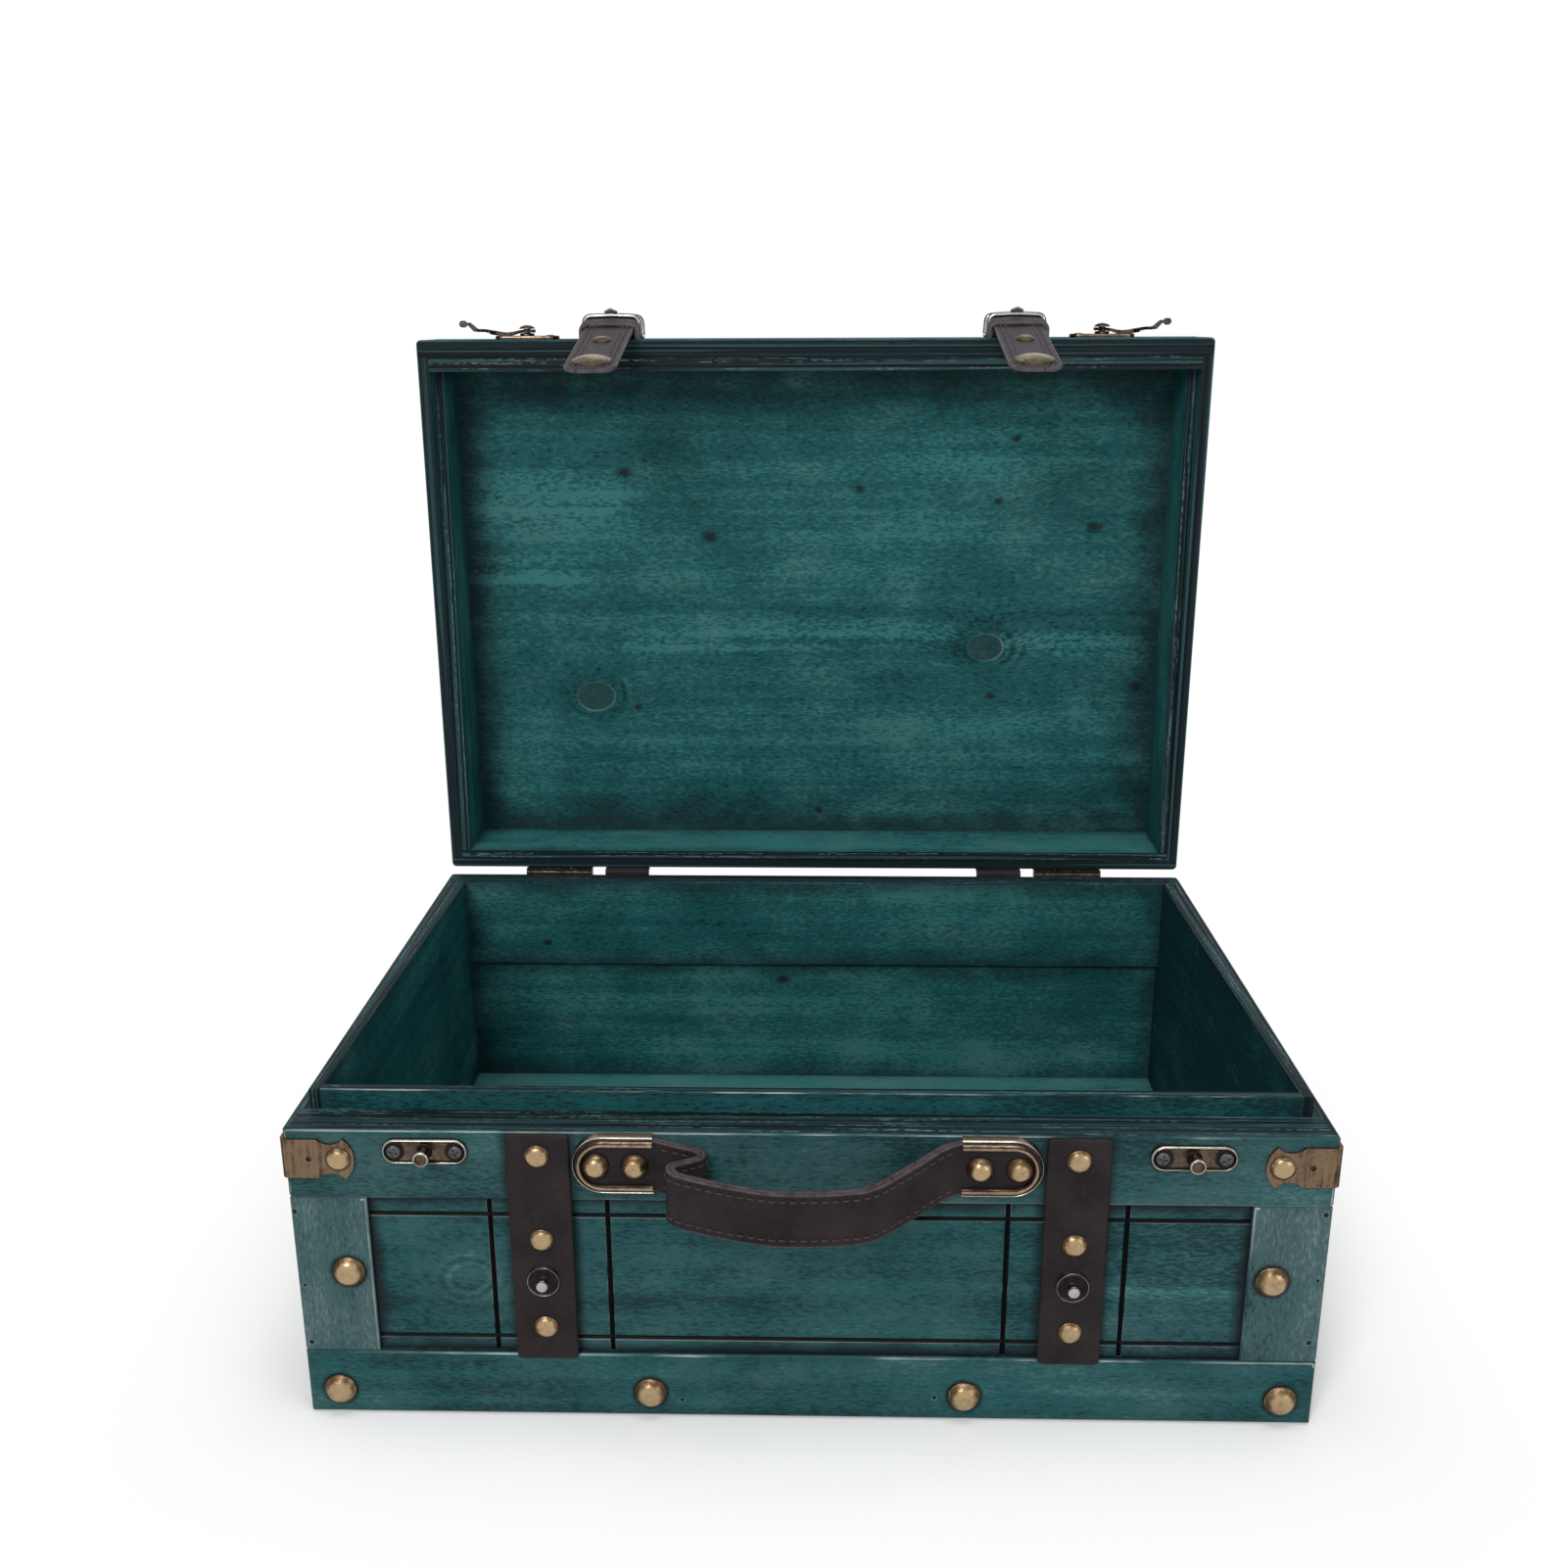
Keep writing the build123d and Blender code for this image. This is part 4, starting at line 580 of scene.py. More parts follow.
class Shape:
    """Points and faces of one mesh; the mark of a face picks its material."""

    def __init__(self):
        self.points, self.faces, self.marks = [], [], []

    def grid(self, rows, marks=None, closed=False):
        """Join rows of equally many points; each row closes on itself, and closed joins the last row to the first."""
        first, count = len(self.points), len(rows[0])
        for row in rows:
            self.points.extend(row)
        for i in range(len(rows) if closed else len(rows) - 1):
            near, far = first + i * count, first + (i + 1) % len(rows) * count
            for j in range(count):
                k = (j + 1) % count
                self.faces.append((near + j, near + k, far + k, far + j))
                self.marks.append(marks[j] if marks else 0)
        return first, first + (len(rows) - 1) * count

    def capped(self, rows, marks=None, mark=0):
        starts = self.grid(rows, marks)
        count = len(rows[0])
        self.faces += [tuple(range(starts[0] + count - 1, starts[0] - 1, -1)),
                       tuple(range(starts[1], starts[1] + count))]
        self.marks += [mark, mark]

    def piece(self, name, body, slot, *looks, replaces=()):
        """Make the piece, in metres, riding on its body; without a body it is left unattached."""
        mesh = bpy.data.meshes.new(name)
        mesh.from_pydata([[c * MM for c in point] for point in self.points], [], self.faces)
        mesh.polygons.foreach_set("material_index", self.marks)
        mesh.polygons.foreach_set("use_smooth", [True] * len(self.faces))
        for look in looks:
            mesh.materials.append(look)
        shell = bmesh.new()
        shell.from_mesh(mesh)
        bmesh.ops.recalc_face_normals(shell, faces=shell.faces)
        shell.to_mesh(mesh)
        shell.free()
        mesh.set_sharp_from_angle(angle=math.radians(50))
        item = bpy.data.objects.new(name, mesh)
        bpy.context.scene.collection.objects.link(item)
        if body:
            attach(item, body)
        if replaces:
            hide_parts(*replaces)
        return item


def rounded(corners, radii, step=1.5):
    """A line through corner points, each corner rounded to its radius, as closely spaced points."""
    corners = [Vector(corner) for corner in corners]
    line = [corners[0]]
    for before, corner, after, radius in zip(corners, corners[1:], corners[2:], radii):
        a, b = (before - corner).normalized(), (after - corner).normalized()
        half = a.angle(b) / 2
        reach = radius / math.tan(half)
        centre = corner + (a + b).normalized() * radius / math.sin(half)
        start, end = corner + a * reach - centre, corner + b * reach - centre
        turn = start.angle(end)
        count = max(3, round(turn * radius / 0.7), round(math.degrees(turn) / 9))
        arc = []
        for i in range(count + 1):
            t = i / count
            arc.append(centre + (start * math.sin((1 - t) * turn) + end * math.sin(t * turn)) / math.sin(turn))
        line = run(line, arc[0], step) + arc
    return run(line, corners[-1], step) + [corners[-1]]


def run(line, end, step):
    """Fill the straight run from the line's last point to the next with evenly spaced points."""
    start = line[-1]
    count = max(1, round((end - start).length / step))
    return line + [start.lerp(end, i / count) for i in range(1, count)]


def headings(line):
    """Direction of travel at each point."""
    last = len(line) - 1
    return [(line[min(i + 1, last)] - line[max(i - 1, 0)]).normalized() for i in range(len(line))]


def lengths(line):
    total = [0.0]
    for a, b in zip(line, line[1:]):
        total.append(total[-1] + (b - a).length)
    return total


# Sections of leather from near the middle over the top, round the edge and back: inset from the edge, and share of the
# thickness. A double band is its upper layer mirrored.

SINGLE = [(7.0, 1.0), (5.2, 1.0), (4.8, 0.95), (4.3, 0.95), (3.9, 1.0), (3.4, 1.0), (3.0, 0.96), (2.5, 0.88), (2.0, 0.95),
          (1.4, 1.0), (0.6, 0.98), (0.2, 0.86), (0.0, 0.66), (0.0, 0.36), (0.2, 0.13), (0.6, 0.02), (1.5, 0.0), (7.0, 0.0)]
PLAIN = [(7.0, 1.0), (1.6, 1.0), (0.9, 0.99), (0.45, 0.94), (0.12, 0.80), (0.0, 0.60), (0.0, 0.30), (0.15, 0.08),
         (0.6, 0.0), (7.0, 0.0)]
UPPER = [(7.0, 1.0), (3.4, 1.0), (2.8, 0.985), (2.4, 0.93), (2.0, 0.975), (1.2, 1.0), (0.5, 0.985), (0.12, 0.93),
         (0.0, 0.83), (0.0, 0.64), (0.12, 0.55)]
DOUBLE = UPPER + [(0.42, 0.50)] + [(inset, 1.0 - share) for inset, share in reversed(UPPER)]
KEEPER = [(3.0, 1.0), (1.0, 0.99), (0.5, 0.95), (0.15, 0.84), (0.0, 0.66), (0.0, 0.36), (0.15, 0.14), (0.5, 0.02),
          (3.0, 0.0)]

# Insets whose faces are the worn edge, and the stitch grooves of a single layer

BURNISHED = 0.65
SEAMS = ((2.0, 3.0), (4.3, 4.8))


def strap(shape, stations, thickness, section, seam=0):
    """Carry a section along stations of (place, side, up, half width, fullness); seam marks its stitch grooves."""
    widest = max(station[3] for station in stations)
    rows = []
    for place, side, up, half, full in stations:
        row = []
        for sign, part in ((1, section), (-1, section[::-1])):
            for inset, share in part:
                across = sign * (half - min(inset, widest - 0.5) * half / widest)
                row.append(place + side * across + up * (thickness * (0.5 + (share - 0.5) * full)))
        rows.append(row)
    edge = []
    for pair in zip(section, section[1:]):
        near, far = sorted(inset for inset, _ in pair)
        sewn = any(first <= near < far <= last for first, last in SEAMS)
        edge.append(1 if far <= BURNISHED else seam if sewn else 0)
    shape.capped(rows, edge + [0] + edge[::-1] + [0], 1)


# A stitch: share of its length, height over the leather and share of its girth

STITCH = ((0.0, -0.30, 0.55), (0.14, 0.0, 0.9), (0.5, 0.14, 1.0), (0.86, 0.0, 0.9), (1.0, -0.30, 0.55))


def stitches(shape, line, ups, pitch=3.1, length=2.3, girth=0.36, mark=2, start=0.6):
    """Short threads end to end along a line, each dipping into the leather at both ends."""
    total = lengths(line)

    def at(s):
        for i in range(len(line) - 1):
            if total[i + 1] >= s:
                t = (s - total[i]) / (total[i + 1] - total[i])
                return line[i].lerp(line[i + 1], t), ups[i].lerp(ups[i + 1], t).normalized()
        return line[-1], ups[-1]

    s = start
    while s + length < total[-1]:
        rows = []
        for share, rise, size in STITCH:
            here, up = at(s + share * length)
            ahead, _ = at(min(s + share * length + 0.2, total[-1]))
            behind, _ = at(max(s + share * length - 0.2, 0.0))
            along = (ahead - behind).normalized()
            side = along.cross(up).normalized()
            ring = [here + up * (rise + girth * size * math.sin(a) * 0.8) + side * (girth * size * math.cos(a))
                    for a in (math.tau * k / 6 for k in range(6))]
            rows.append(ring)
        shape.capped(rows, [mark] * 6, mark)
        s += pitch


def tube(shape, line, radius, closed=False, count=12, mark=0):
    """A round wire along a line."""
    if closed:
        ways = [(line[(i + 1) % len(line)] - line[i - 1]).normalized() for i in range(len(line))]
    else:
        ways = headings(line)
    side = ways[0].orthogonal().normalized()
    rows = []
    for here, way in zip(line, ways):
        side = (side - way * side.dot(way)).normalized()
        other = way.cross(side)
        rows.append([here + (side * math.cos(a) + other * math.sin(a)) * radius
                     for a in (math.tau * k / count for k in range(count))])
    if closed:
        shape.grid(rows, [mark] * count, closed=True)
    else:
        shape.capped(rows, [mark] * count, mark)


def lathe(shape, place, axis, outline, count=40, marks=None):
    """Turn an outline of (radius, height) points about an axis; it starts and ends near the axis."""
    axis = axis.normalized()
    side = axis.orthogonal().normalized()
    other = axis.cross(side)
    rows = [[place + axis * h + (side * math.cos(a) + other * math.sin(a)) * r
             for a in (math.tau * k / count for k in range(count))] for r, h in outline]
    first = len(shape.faces)
    shape.capped(rows)
    if marks:
        for i, mark in enumerate(marks):
            shape.marks[first + i * count:first + (i + 1) * count] = [mark] * count


# Places in millimetres

FRONT = FRONT_Y / MM
BACK = BACK_Y / MM
STRAPS = (-STRAP_X / MM, STRAP_X / MM)
HINGE_AT = Vector(HINGE) / MM
LID_FRONT_TOP = high("lid_front_board").z / MM
LID_OUT_Y = high("lid_top_frame").y / MM
LID_UNDER = low("lid_back_board").z / MM


def strap_ends(total, s, corner, half):
    """Half width and fullness of a strap with rounded corners at distance s along it."""
    near = min(s, total - s)
    if near >= corner:
        return half, 1.0
    dip = corner - math.sqrt(max(corner**2 - (corner - near) ** 2, 0.0))
    return half - dip, 0.72 + 0.28 * min(near / (0.6 * corner), 1.0)


def with_ends(line, corner):
    """Add close points at both ends of a line, where the strap's corners are rounded."""
    first, last = (line[1] - line[0]).normalized(), (line[-2] - line[-1]).normalized()
    steps = [corner * share for share in (0.0, 0.06, 0.2, 0.4, 0.65, 1.0)]
    kept = [p for p in line if (p - line[0]).length > corner * 1.2 and (p - line[-1]).length > corner * 1.2]
    return [line[0] + first * s for s in steps] + kept + [line[-1] + last * s for s in reversed(steps)]


def strip_along(shape, line, side, half, thickness, section, corner=1.2):
    """A strap along a line of its inner face; up is square to the line and to its side."""
    line = with_ends(line, corner)
    total = lengths(line)
    stations = []
    for here, way, s in zip(line, headings(line), total):
        width, full = strap_ends(total[-1], s, corner, half)
        stations.append((here, side, side.cross(way).normalized(), width, full))
    strap(shape, stations, thickness, section)


# Straps of the base and the long straps from the base over the lid

STRAP_HALF = 10.0
STRAP_THICK = 1.6


def front_straps():
    shape = Shape()
    for x in STRAPS:
        ends = [Vector((x, FRONT, end("base_front_straps").z / MM)) for end in (low, high)]
        strip_along(shape, rounded(ends, []), ACROSS, STRAP_HALF, STRAP_THICK, PLAIN)
    shape.piece("front_straps_leather", "base", "dark_leather", LEATHER, LEATHER, replaces=["base_front_straps"])


def long_strap(x, name):
    """Up the back of the base, round the hinge line, under and up the open lid and over its front wall."""
    shape = Shape()
    foot = low("base_back_straps").z / MM
    corners = [(x, BACK, foot), (x, BACK, LID_UNDER), (x, LID_OUT_Y, LID_UNDER), (x, LID_OUT_Y, LID_FRONT_TOP),
               (x, FRONT_FOLD_END, LID_FRONT_TOP)]
    line = rounded(corners, [HINGE_AT.y - BACK, 0.8, 0.8], 1.2)
    strip_along(shape, line, -ACROSS, STRAP_HALF, STRAP_THICK, PLAIN)
    replaces = ["base_back_straps", "lid_straps"]
    item = shape.piece(name, None, "dark_leather", LEATHER, LEATHER, replaces=replaces)
    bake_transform(item)


FRONT_FOLD_END = 121.0


# Keeper, flap and buckle

FLAP_HALF = 10.2
FLAP_THICK = 2.0
FLAP_DROP = math.radians(13.0)
TOE = 7.0
SEAT = 3.2
SOCKET = 10.0
SOCKET_BORE = 5.8
BEND_Y = 120.9
BEND_ROUND = 9.0
FLAP_LONG = 66.3
FLAP_TAIL = 19.5
FLAP_SPLIT = 4.2
FLAP_SEAMS = (2.5, 4.6)
DRILL = 10.0
AXIS = 0.02


def fold_layer(x, name):
    """Second layer of leather on the lid's front wall, folded back round the buckle, and the keeper over it."""
    shape = Shape()
    wall = LID_FRONT_TOP
    start, end = KEEPER_FRONT + 2.0, FOLD_BACK
    line = [Vector((x, end, wall + STRAP_THICK)), Vector((x, start, wall + STRAP_THICK))]
    strip_along(shape, rounded(line, []), -ACROSS, STRAP_HALF - 0.3, STRAP_THICK, PLAIN)
    corners = [(x - 10.8, 0, 0.1), (x - 10.8, 0, 5.35), (x, 0, 5.9), (x + 10.8, 0, 5.35), (x + 10.8, 0, 0.1)]
    line = rounded(corners, [1.6, 40.0, 1.6], 0.8)
    centre = Vector((0, KEEPER_FRONT + KEEPER_LONG / 2, wall))
    stations = []
    for here, way in zip(line, headings(line)):
        rise = here.z / 5.5
        lean = (BACKWARD + UPWARD * (0.27 * rise)).normalized()
        stations.append((here + centre, lean, way.cross(lean).normalized(), KEEPER_LONG / 2, 1.0))
    strap(shape, stations, KEEPER_THICK, KEEPER)
    shape.piece(name, "lid", "dark_leather", FLAP_LEATHER_PAINTED_LIGHT, FLAP_EDGE_PAINTED_LIGHT)


KEEPER_FRONT = 118.7
KEEPER_LONG = 7.2
KEEPER_THICK = 1.8
FOLD_BACK = 142.0


def toe_half(left):
    """Half width of the flap at a distance before its rounded end."""
    if left >= TOE:
        return FLAP_HALF
    q = min(1.0 - left / TOE, 1.0)
    return max(FLAP_HALF * (1.0 - q**2.4) ** (1 / 2.4), 1.2)


def carved(blank, tool, crossed=False):
    """Cut one piece out of another, drop both and hand back the shape that is left."""
    change = blank.modifiers.new("cut", "BOOLEAN")
    change.operation, change.solver, change.object, change.use_self = "DIFFERENCE", "EXACT", tool, crossed
    bpy.context.view_layer.update()
    cut = bpy.data.meshes.new_from_object(blank.evaluated_get(bpy.context.evaluated_depsgraph_get()))
    left = Shape()
    left.points = [vert.co.copy() for vert in cut.vertices]
    left.faces = [tuple(face.vertices) for face in cut.polygons]
    left.marks = [face.material_index for face in cut.polygons]
    for item in (blank, tool):
        bpy.data.objects.remove(item)
    return left


def drilled(shape, place, axis, radius, look):
    """The same shape with a round hole through it."""
    tool = Shape()
    lathe(tool, place - axis * DRILL / 2, axis, [(AXIS, 0.0), (radius, 0.0), (radius, DRILL), (AXIS, DRILL)], 32)
    pair = [shape.piece("drill_blank", "base", "dark_leather", *[look] * 4),
            tool.piece("drill_cutter", "base", "dark_leather", look)]
    for item in pair:
        item.data.transform(Matrix.Scale(1 / MM, 4))
    return carved(*pair)


def flap_pieces(x, side):
    """The stitched flap in two lengths: from the buckle round its bend, and from there to the toe."""
    bend = Vector((x, BEND_Y, LID_FRONT_TOP + SEAT + FLAP_THICK / 2))
    way = Vector((0.0, -math.cos(FLAP_DROP), -math.sin(FLAP_DROP)))
    toe = bend + way * FLAP_LONG
    line = rounded([bend + BACKWARD * FLAP_TAIL, bend, toe], [BEND_ROUND], 1.2)
    split_at = next(i for i, p in enumerate(line) if (p - bend).dot(way) > FLAP_SPLIT)
    close = [toe - way * (TOE * (1 - math.sin(k * math.pi / 18))) for k in range(1, 10)]
    line = [p for p in line if (toe - p).dot(way) > TOE] + [toe - way * TOE] + close
    stations = []
    for here, ahead in zip(line, headings(line)):
        up = ahead.cross(ACROSS).normalized()
        left = (toe - here).dot(way)
        full = 0.7 + 0.3 * min(left / 0.9, 1.0)
        stations.append((here - up * (FLAP_THICK / 2), ACROSS, up, toe_half(left), full))
    bend_body, end_body = f"{side}_flap_bend", f"{side}_flap_end"
    halves = (("flap_root", stations[:split_at + 1], ("lid", bend_body), bend + BACKWARD * 1.6, bend + way * 3.4),
              ("flap", stations[split_at:], (bend_body, end_body), bend + way * 5.0, bend + way * 12.0))
    for word, part, bodies, start, end in halves:
        shape = Shape()
        # Stitch grooves take the plain strap leather, without the painted light of the flap face
        strap(shape, part, FLAP_THICK, SINGLE, seam=3)
        if word == "flap":
            ring = min(islands(f"{side}_snap_cap"), key=lambda entry: abs(max(entry[1]) - SOCKET))[0]
            shape = drilled(shape, ring, way.cross(ACROSS).normalized(), SOCKET_BORE / 2, LEATHER)
        for inset in FLAP_SEAMS:
            rows, ups = ([], []), []
            for here, across, up, half, full in part:
                reach = (toe - here).dot(way)
                if reach >= inset:
                    width = max(toe_half(reach - inset * 0.8) - inset, 0.0)
                    for row, sign in zip(rows, (1, -1)):
                        row.append(here + across * (sign * width) + up * FLAP_THICK)
                    ups.append(up)
            if word == "flap":
                rows, ups = [rows[0] + rows[1][::-1]], ups + ups[::-1]
            for row in rows:
                stitches(shape, row, ups, 2.9, 2.0, 0.40)
        item = shape.piece(f"{side}_{word}_leather", None, "dark_leather", FLAP_LEATHER_PAINTED_LIGHT, FLAP_EDGE_PAINTED_LIGHT, FLAP_THREAD_PAINTED_LIGHT,
                           LEATHER, replaces=[f"{side}_{word}"])
        tuple(start * MM)
        tuple(end * MM)
        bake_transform(item)


def buckle(x, side_name):
    """A rounded wire frame bowed over the leather, and its prong with a lifted point."""
    shape = Shape()
    wall = LID_FRONT_TOP
    y0, y1 = low(f"{side_name}_buckle").y / MM + 1.3, high(f"{side_name}_buckle").y / MM - 1.3
    wide, top, foot = 11.6, 9.0, 1.15
    corners = [(x, y0, wall + top + 0.5), (x + wide - 0.5, y0, wall + top), (x + wide, y0, wall + foot),
               (x + wide, y1, wall + foot), (x + wide - 0.5, y1, wall + top), (x - wide + 0.5, y1, wall + top),
               (x - wide, y1, wall + foot), (x - wide, y0, wall + foot), (x - wide + 0.5, y0, wall + top),
               (x, y0, wall + top + 0.5)]
    line = rounded(corners, [2.6, 1.6, 1.6, 2.6, 2.6, 1.6, 1.6, 2.6], 1.2)[:-1]
    tube(shape, line, 1.15, closed=True, count=14)
    places = [(y1 - 0.4, 8.6, 1.3, 1.3), (y1 - 1.6, 9.9, 1.3, 1.3), (y0 + 4.0, 9.9, 1.3, 1.4), (y0 + 1.0, 10.1, 1.7, 1.5),
              (y0 - 0.6, 10.3, 2.9, 1.5), (y0 - 1.4, 10.6, 2.6, 1.5), (y0 - 2.4, 11.2, 1.5, 1.3), (y0 - 3.1, 12.0, 0.4, 0.6)]
    rows = []
    for y, h, half, thick in places:
        rows.append([Vector((x + u * half, y, wall + h + v * thick)) for u, v in
                     ((0.0, 1.0), (0.55, 0.86), (1.0, 0.45), (0.9, 0.1), (0.0, 0.0), (-0.9, 0.1), (-1.0, 0.45),
                      (-0.55, 0.86))])
    shape.capped(rows, [1] * 8, 1)
    shape.piece(f"{side_name}_buckle_wire", "lid", "nickel_steel", NICKEL, PRONG, replaces=[f"{side_name}_buckle"])




# Handle


def handle_band():
    """Double leather band, folded back on itself at its left end, with stitches along both edges."""
    inner, seat, reach = PLATE_INNER, BAND_THICK / 2, PLATE_END - BAND_SHORT
    corners = [(-reach, seat), (-inner * 0.58, seat), (-inner * 0.95, 17.5), (-inner * 0.21, 21.0), (inner * 0.4, 20.0),
               (inner * 0.886, seat), (reach, seat)]
    line = rounded([(x, FRONT - y, 0.0) for x, y in corners], [3.0, 3.2, 30.0, 15.0, 12.0], 1.0)
    ends = [0.05] + [BAND_HALF * (1 - math.cos(k * math.pi / 18)) for k in range(1, 10)]
    first, last, clear = line[0], line[-1], BAND_HALF + 0.5
    body = [p for p in line if min(p.x - first.x, last.x - p.x) > clear or abs(p.x) < reach - clear]
    line = [first + ACROSS * d for d in ends] + body + [last - ACROSS * d for d in ends[::-1]]
    curve = (inner**2 + BAND_SAG**2) / (2 * BAND_SAG)
    stations, edges = [], ([], [])
    total = lengths(line)
    for here, way, s in zip(line, headings(line), total):
        dip = math.sqrt(curve**2 - here.x**2) - (curve - BAND_SAG) if abs(here.x) < inner else 0.0
        near = min(s, total[-1] - s)
        half = BAND_HALF if near > BAND_HALF else math.sqrt(max(BAND_HALF**2 - (BAND_HALF - near) ** 2, 0.0))
        up = way.cross(UPWARD).normalized()
        place = Vector((here.x, here.y, HANDLE_HEIGHT - dip)) - up * (BAND_THICK / 2)
        stations.append((place, UPWARD, up, max(half, 0.6), 1.0))
        if near > PLATE_END - inner + 0.6:
            for sign, row in ((-1, edges[0]), (1, edges[1])):
                seam = place + UPWARD * (sign * (BAND_HALF - BAND_SEAM))
                row += [(seam + up * BAND_THICK, up), (seam, -up)]
    shape = Shape()
    strap(shape, stations, BAND_THICK, DOUBLE)
    for row in edges:
        for face in (row[0::2], row[1::2]):
            stitches(shape, [p for p, _ in face], [u for _, u in face], 3.2, 2.3, 0.34)
    shape.piece("handle_band_leather", "base", "dark_leather", LEATHER, LEATHER_EDGE, THREAD_LOOK,
                replaces=["handle_band"])


PLATE_INNER = low("right_handle_plate").x / MM
PLATE_END = high("right_handle_plate").x / MM
HANDLE_HEIGHT = middle("right_handle_plate").z / MM
BAND_HALF = 9.0
BAND_THICK = 3.0
BAND_SAG = 7.0
BAND_SHORT = 0.9
BAND_SEAM = 2.4
PLATE_SECTION = [(0.0, 0.0), (0.04, 2.3), (0.16, 2.85), (0.38, 3.1), (0.62, 3.0), (0.78, 2.65), (0.95, 2.5),
                 (1.12, 2.62), (1.3, 3.2), (1.62, 4.0), (2.05, 4.4), (2.5, 4.45), (2.9, 4.2), (3.2, 3.7), (3.3, 3.15),
                 (3.3, 2.9), (2.2, 2.9), (0.95, 1.5), (0.9, 0.0)]


def handle_plates():
    """Pressed frames over the ends of the band: a thin lip, a groove and a broad ridge."""
    half = (high("right_handle_plate").z - low("right_handle_plate").z) / MM / 2
    straight = PLATE_END - half
    places = [0.0, 0.4] + [(straight - PLATE_INNER) * k / 4 for k in (1, 2, 3)]
    ways = [(Vector((PLATE_INNER + reach, 0, half)), UPWARD) for reach in places]
    for k in range(25):
        turn = math.pi * k / 24
        out = Vector((math.sin(turn), 0, math.cos(turn)))
        ways.append((Vector((straight, 0, 0)) + out * half, out))
    ways += [(Vector((PLATE_INNER + reach, 0, -half)), -UPWARD) for reach in reversed(places)]
    marks = [1 if 1 <= j <= 4 else 2 if 5 <= j <= 7 else 0 for j in range(len(PLATE_SECTION))]
    for side, name in ((1, "right"), (-1, "left")):
        shape = Shape()
        rows = []
        for base, out in ways:
            points = [(base - out * inset, height) for inset, height in PLATE_SECTION]
            rows.append([Vector((side * point.x, FRONT - height, HANDLE_HEIGHT + point.z)) for point, height in points])
        shape.capped(rows, marks)
        shape.piece(f"{name}_handle_plate_pressed", "base", "antique_brass", BRONZE, LIP_METAL, DARK_METAL,
                    replaces=[f"{name}_handle_plate"])


# Hook latches: section of a plate from its foot inward, and the turned posts, as (radius, height)

LATCH = [(0.0, 0.0), (0.0, 0.9), (0.12, 1.3), (0.38, 1.5), (0.68, 1.42), (0.92, 1.05), (1.15, 0.72), (1.7, 0.62),
         (2.6, 0.66), (3.5, 0.78)]
CATCH_POST = [(AXIS, 5.9), (1.25, 5.85), (1.6, 6.05), (1.95, 6.28), (2.3, 6.25), (2.58, 5.95), (2.6, 5.0),
              (2.4, 4.45), (1.8, 4.3), (1.75, 1.5), (2.2, 0.95), (2.6, 0.7), (AXIS, 0.7)]
PIVOT_POST = [(AXIS, 5.8), (0.9, 5.75), (1.9, 5.5), (2.7, 5.1), (3.2, 4.6), (3.3, 4.35), (3.1, 4.3), (1.4, 4.3),
              (1.4, 2.5), (2.8, 2.5), (3.0, 2.3), (3.0, 1.1), (3.5, 0.75), (AXIS, 0.7)]


# Dark disc round each screw: how far its middle stands off the wall, and its outline

SCREW_DISC = 0.7
DISC = [(AXIS, 0.16), (2.8, 0.16), (3.4, 0.12), (3.5, -0.1), (AXIS, -0.1)]


def latch_plates():
    """Oval plates with a bright rolled rim, each with its post."""
    count = 56
    for word, body, long, out, post in (("catch", "base", UPWARD, -BACKWARD, CATCH_POST),
                                        ("pivot", "lid", BACKWARD, UPWARD, PIVOT_POST)):
        for side in ("left", "right"):
            node = f"{side}_{word}_plate"
            centre, size = middle(node) / MM, (high(node) - low(node)) / MM
            if word == "catch":
                centre.y = FRONT
            else:
                centre.z = LID_FRONT_TOP
            half = size.dot(long) / 2
            straight = size.x / 2 - half
            rows = []
            for k in range(count):
                turn = math.tau * k / count
                way = ACROSS * math.cos(turn) + long * math.sin(turn)
                hub = centre + ACROSS * math.copysign(straight, math.cos(turn))
                rows.append([hub + way * max(half - inset, 0.0) + out * height for inset, height in LATCH])
            shape = Shape()
            starts = shape.grid([[row[j] for row in rows] for j in range(len(LATCH))])
            shape.marks = [1 if 1 <= i // count <= 3 else 0 for i in range(len(shape.faces))]
            shape.faces += [tuple(range(starts[1], starts[1] + count)),
                            tuple(range(starts[0] + count - 1, starts[0] - 1, -1))]
            shape.marks += [0, 0]
            lathe(shape, centre, out, post, 32, [0] * 3 + [1] * 2 + [0] * (len(post) - 6))
            for place, _ in islands(f"{body}_screws"):
                if (place - centre).length < half + straight:
                    foot = place + out * (SCREW_DISC - (place - centre).dot(out))
                    lathe(shape, foot, out, DISC, 32, [2] * 4)
            looks = (PLATE_BRONZE, LIP_METAL, DARK_METAL) if word == "catch" else (DARK_BRONZE, BRONZE, DARK_METAL)
            shape.piece(f"{node}_pressed", body, "antique_brass", *looks, replaces=[node])


def hook_bow(reach):
    """How far the arm bows towards the wall or lifts away from it, at a distance from its pivot."""
    dip = -0.75 * math.sin(math.pi * min(reach / 15.0, 1.0)) ** 2
    return dip + 0.5 * min(max((reach - 15.0) / 8.0, 0.0), 1.0)


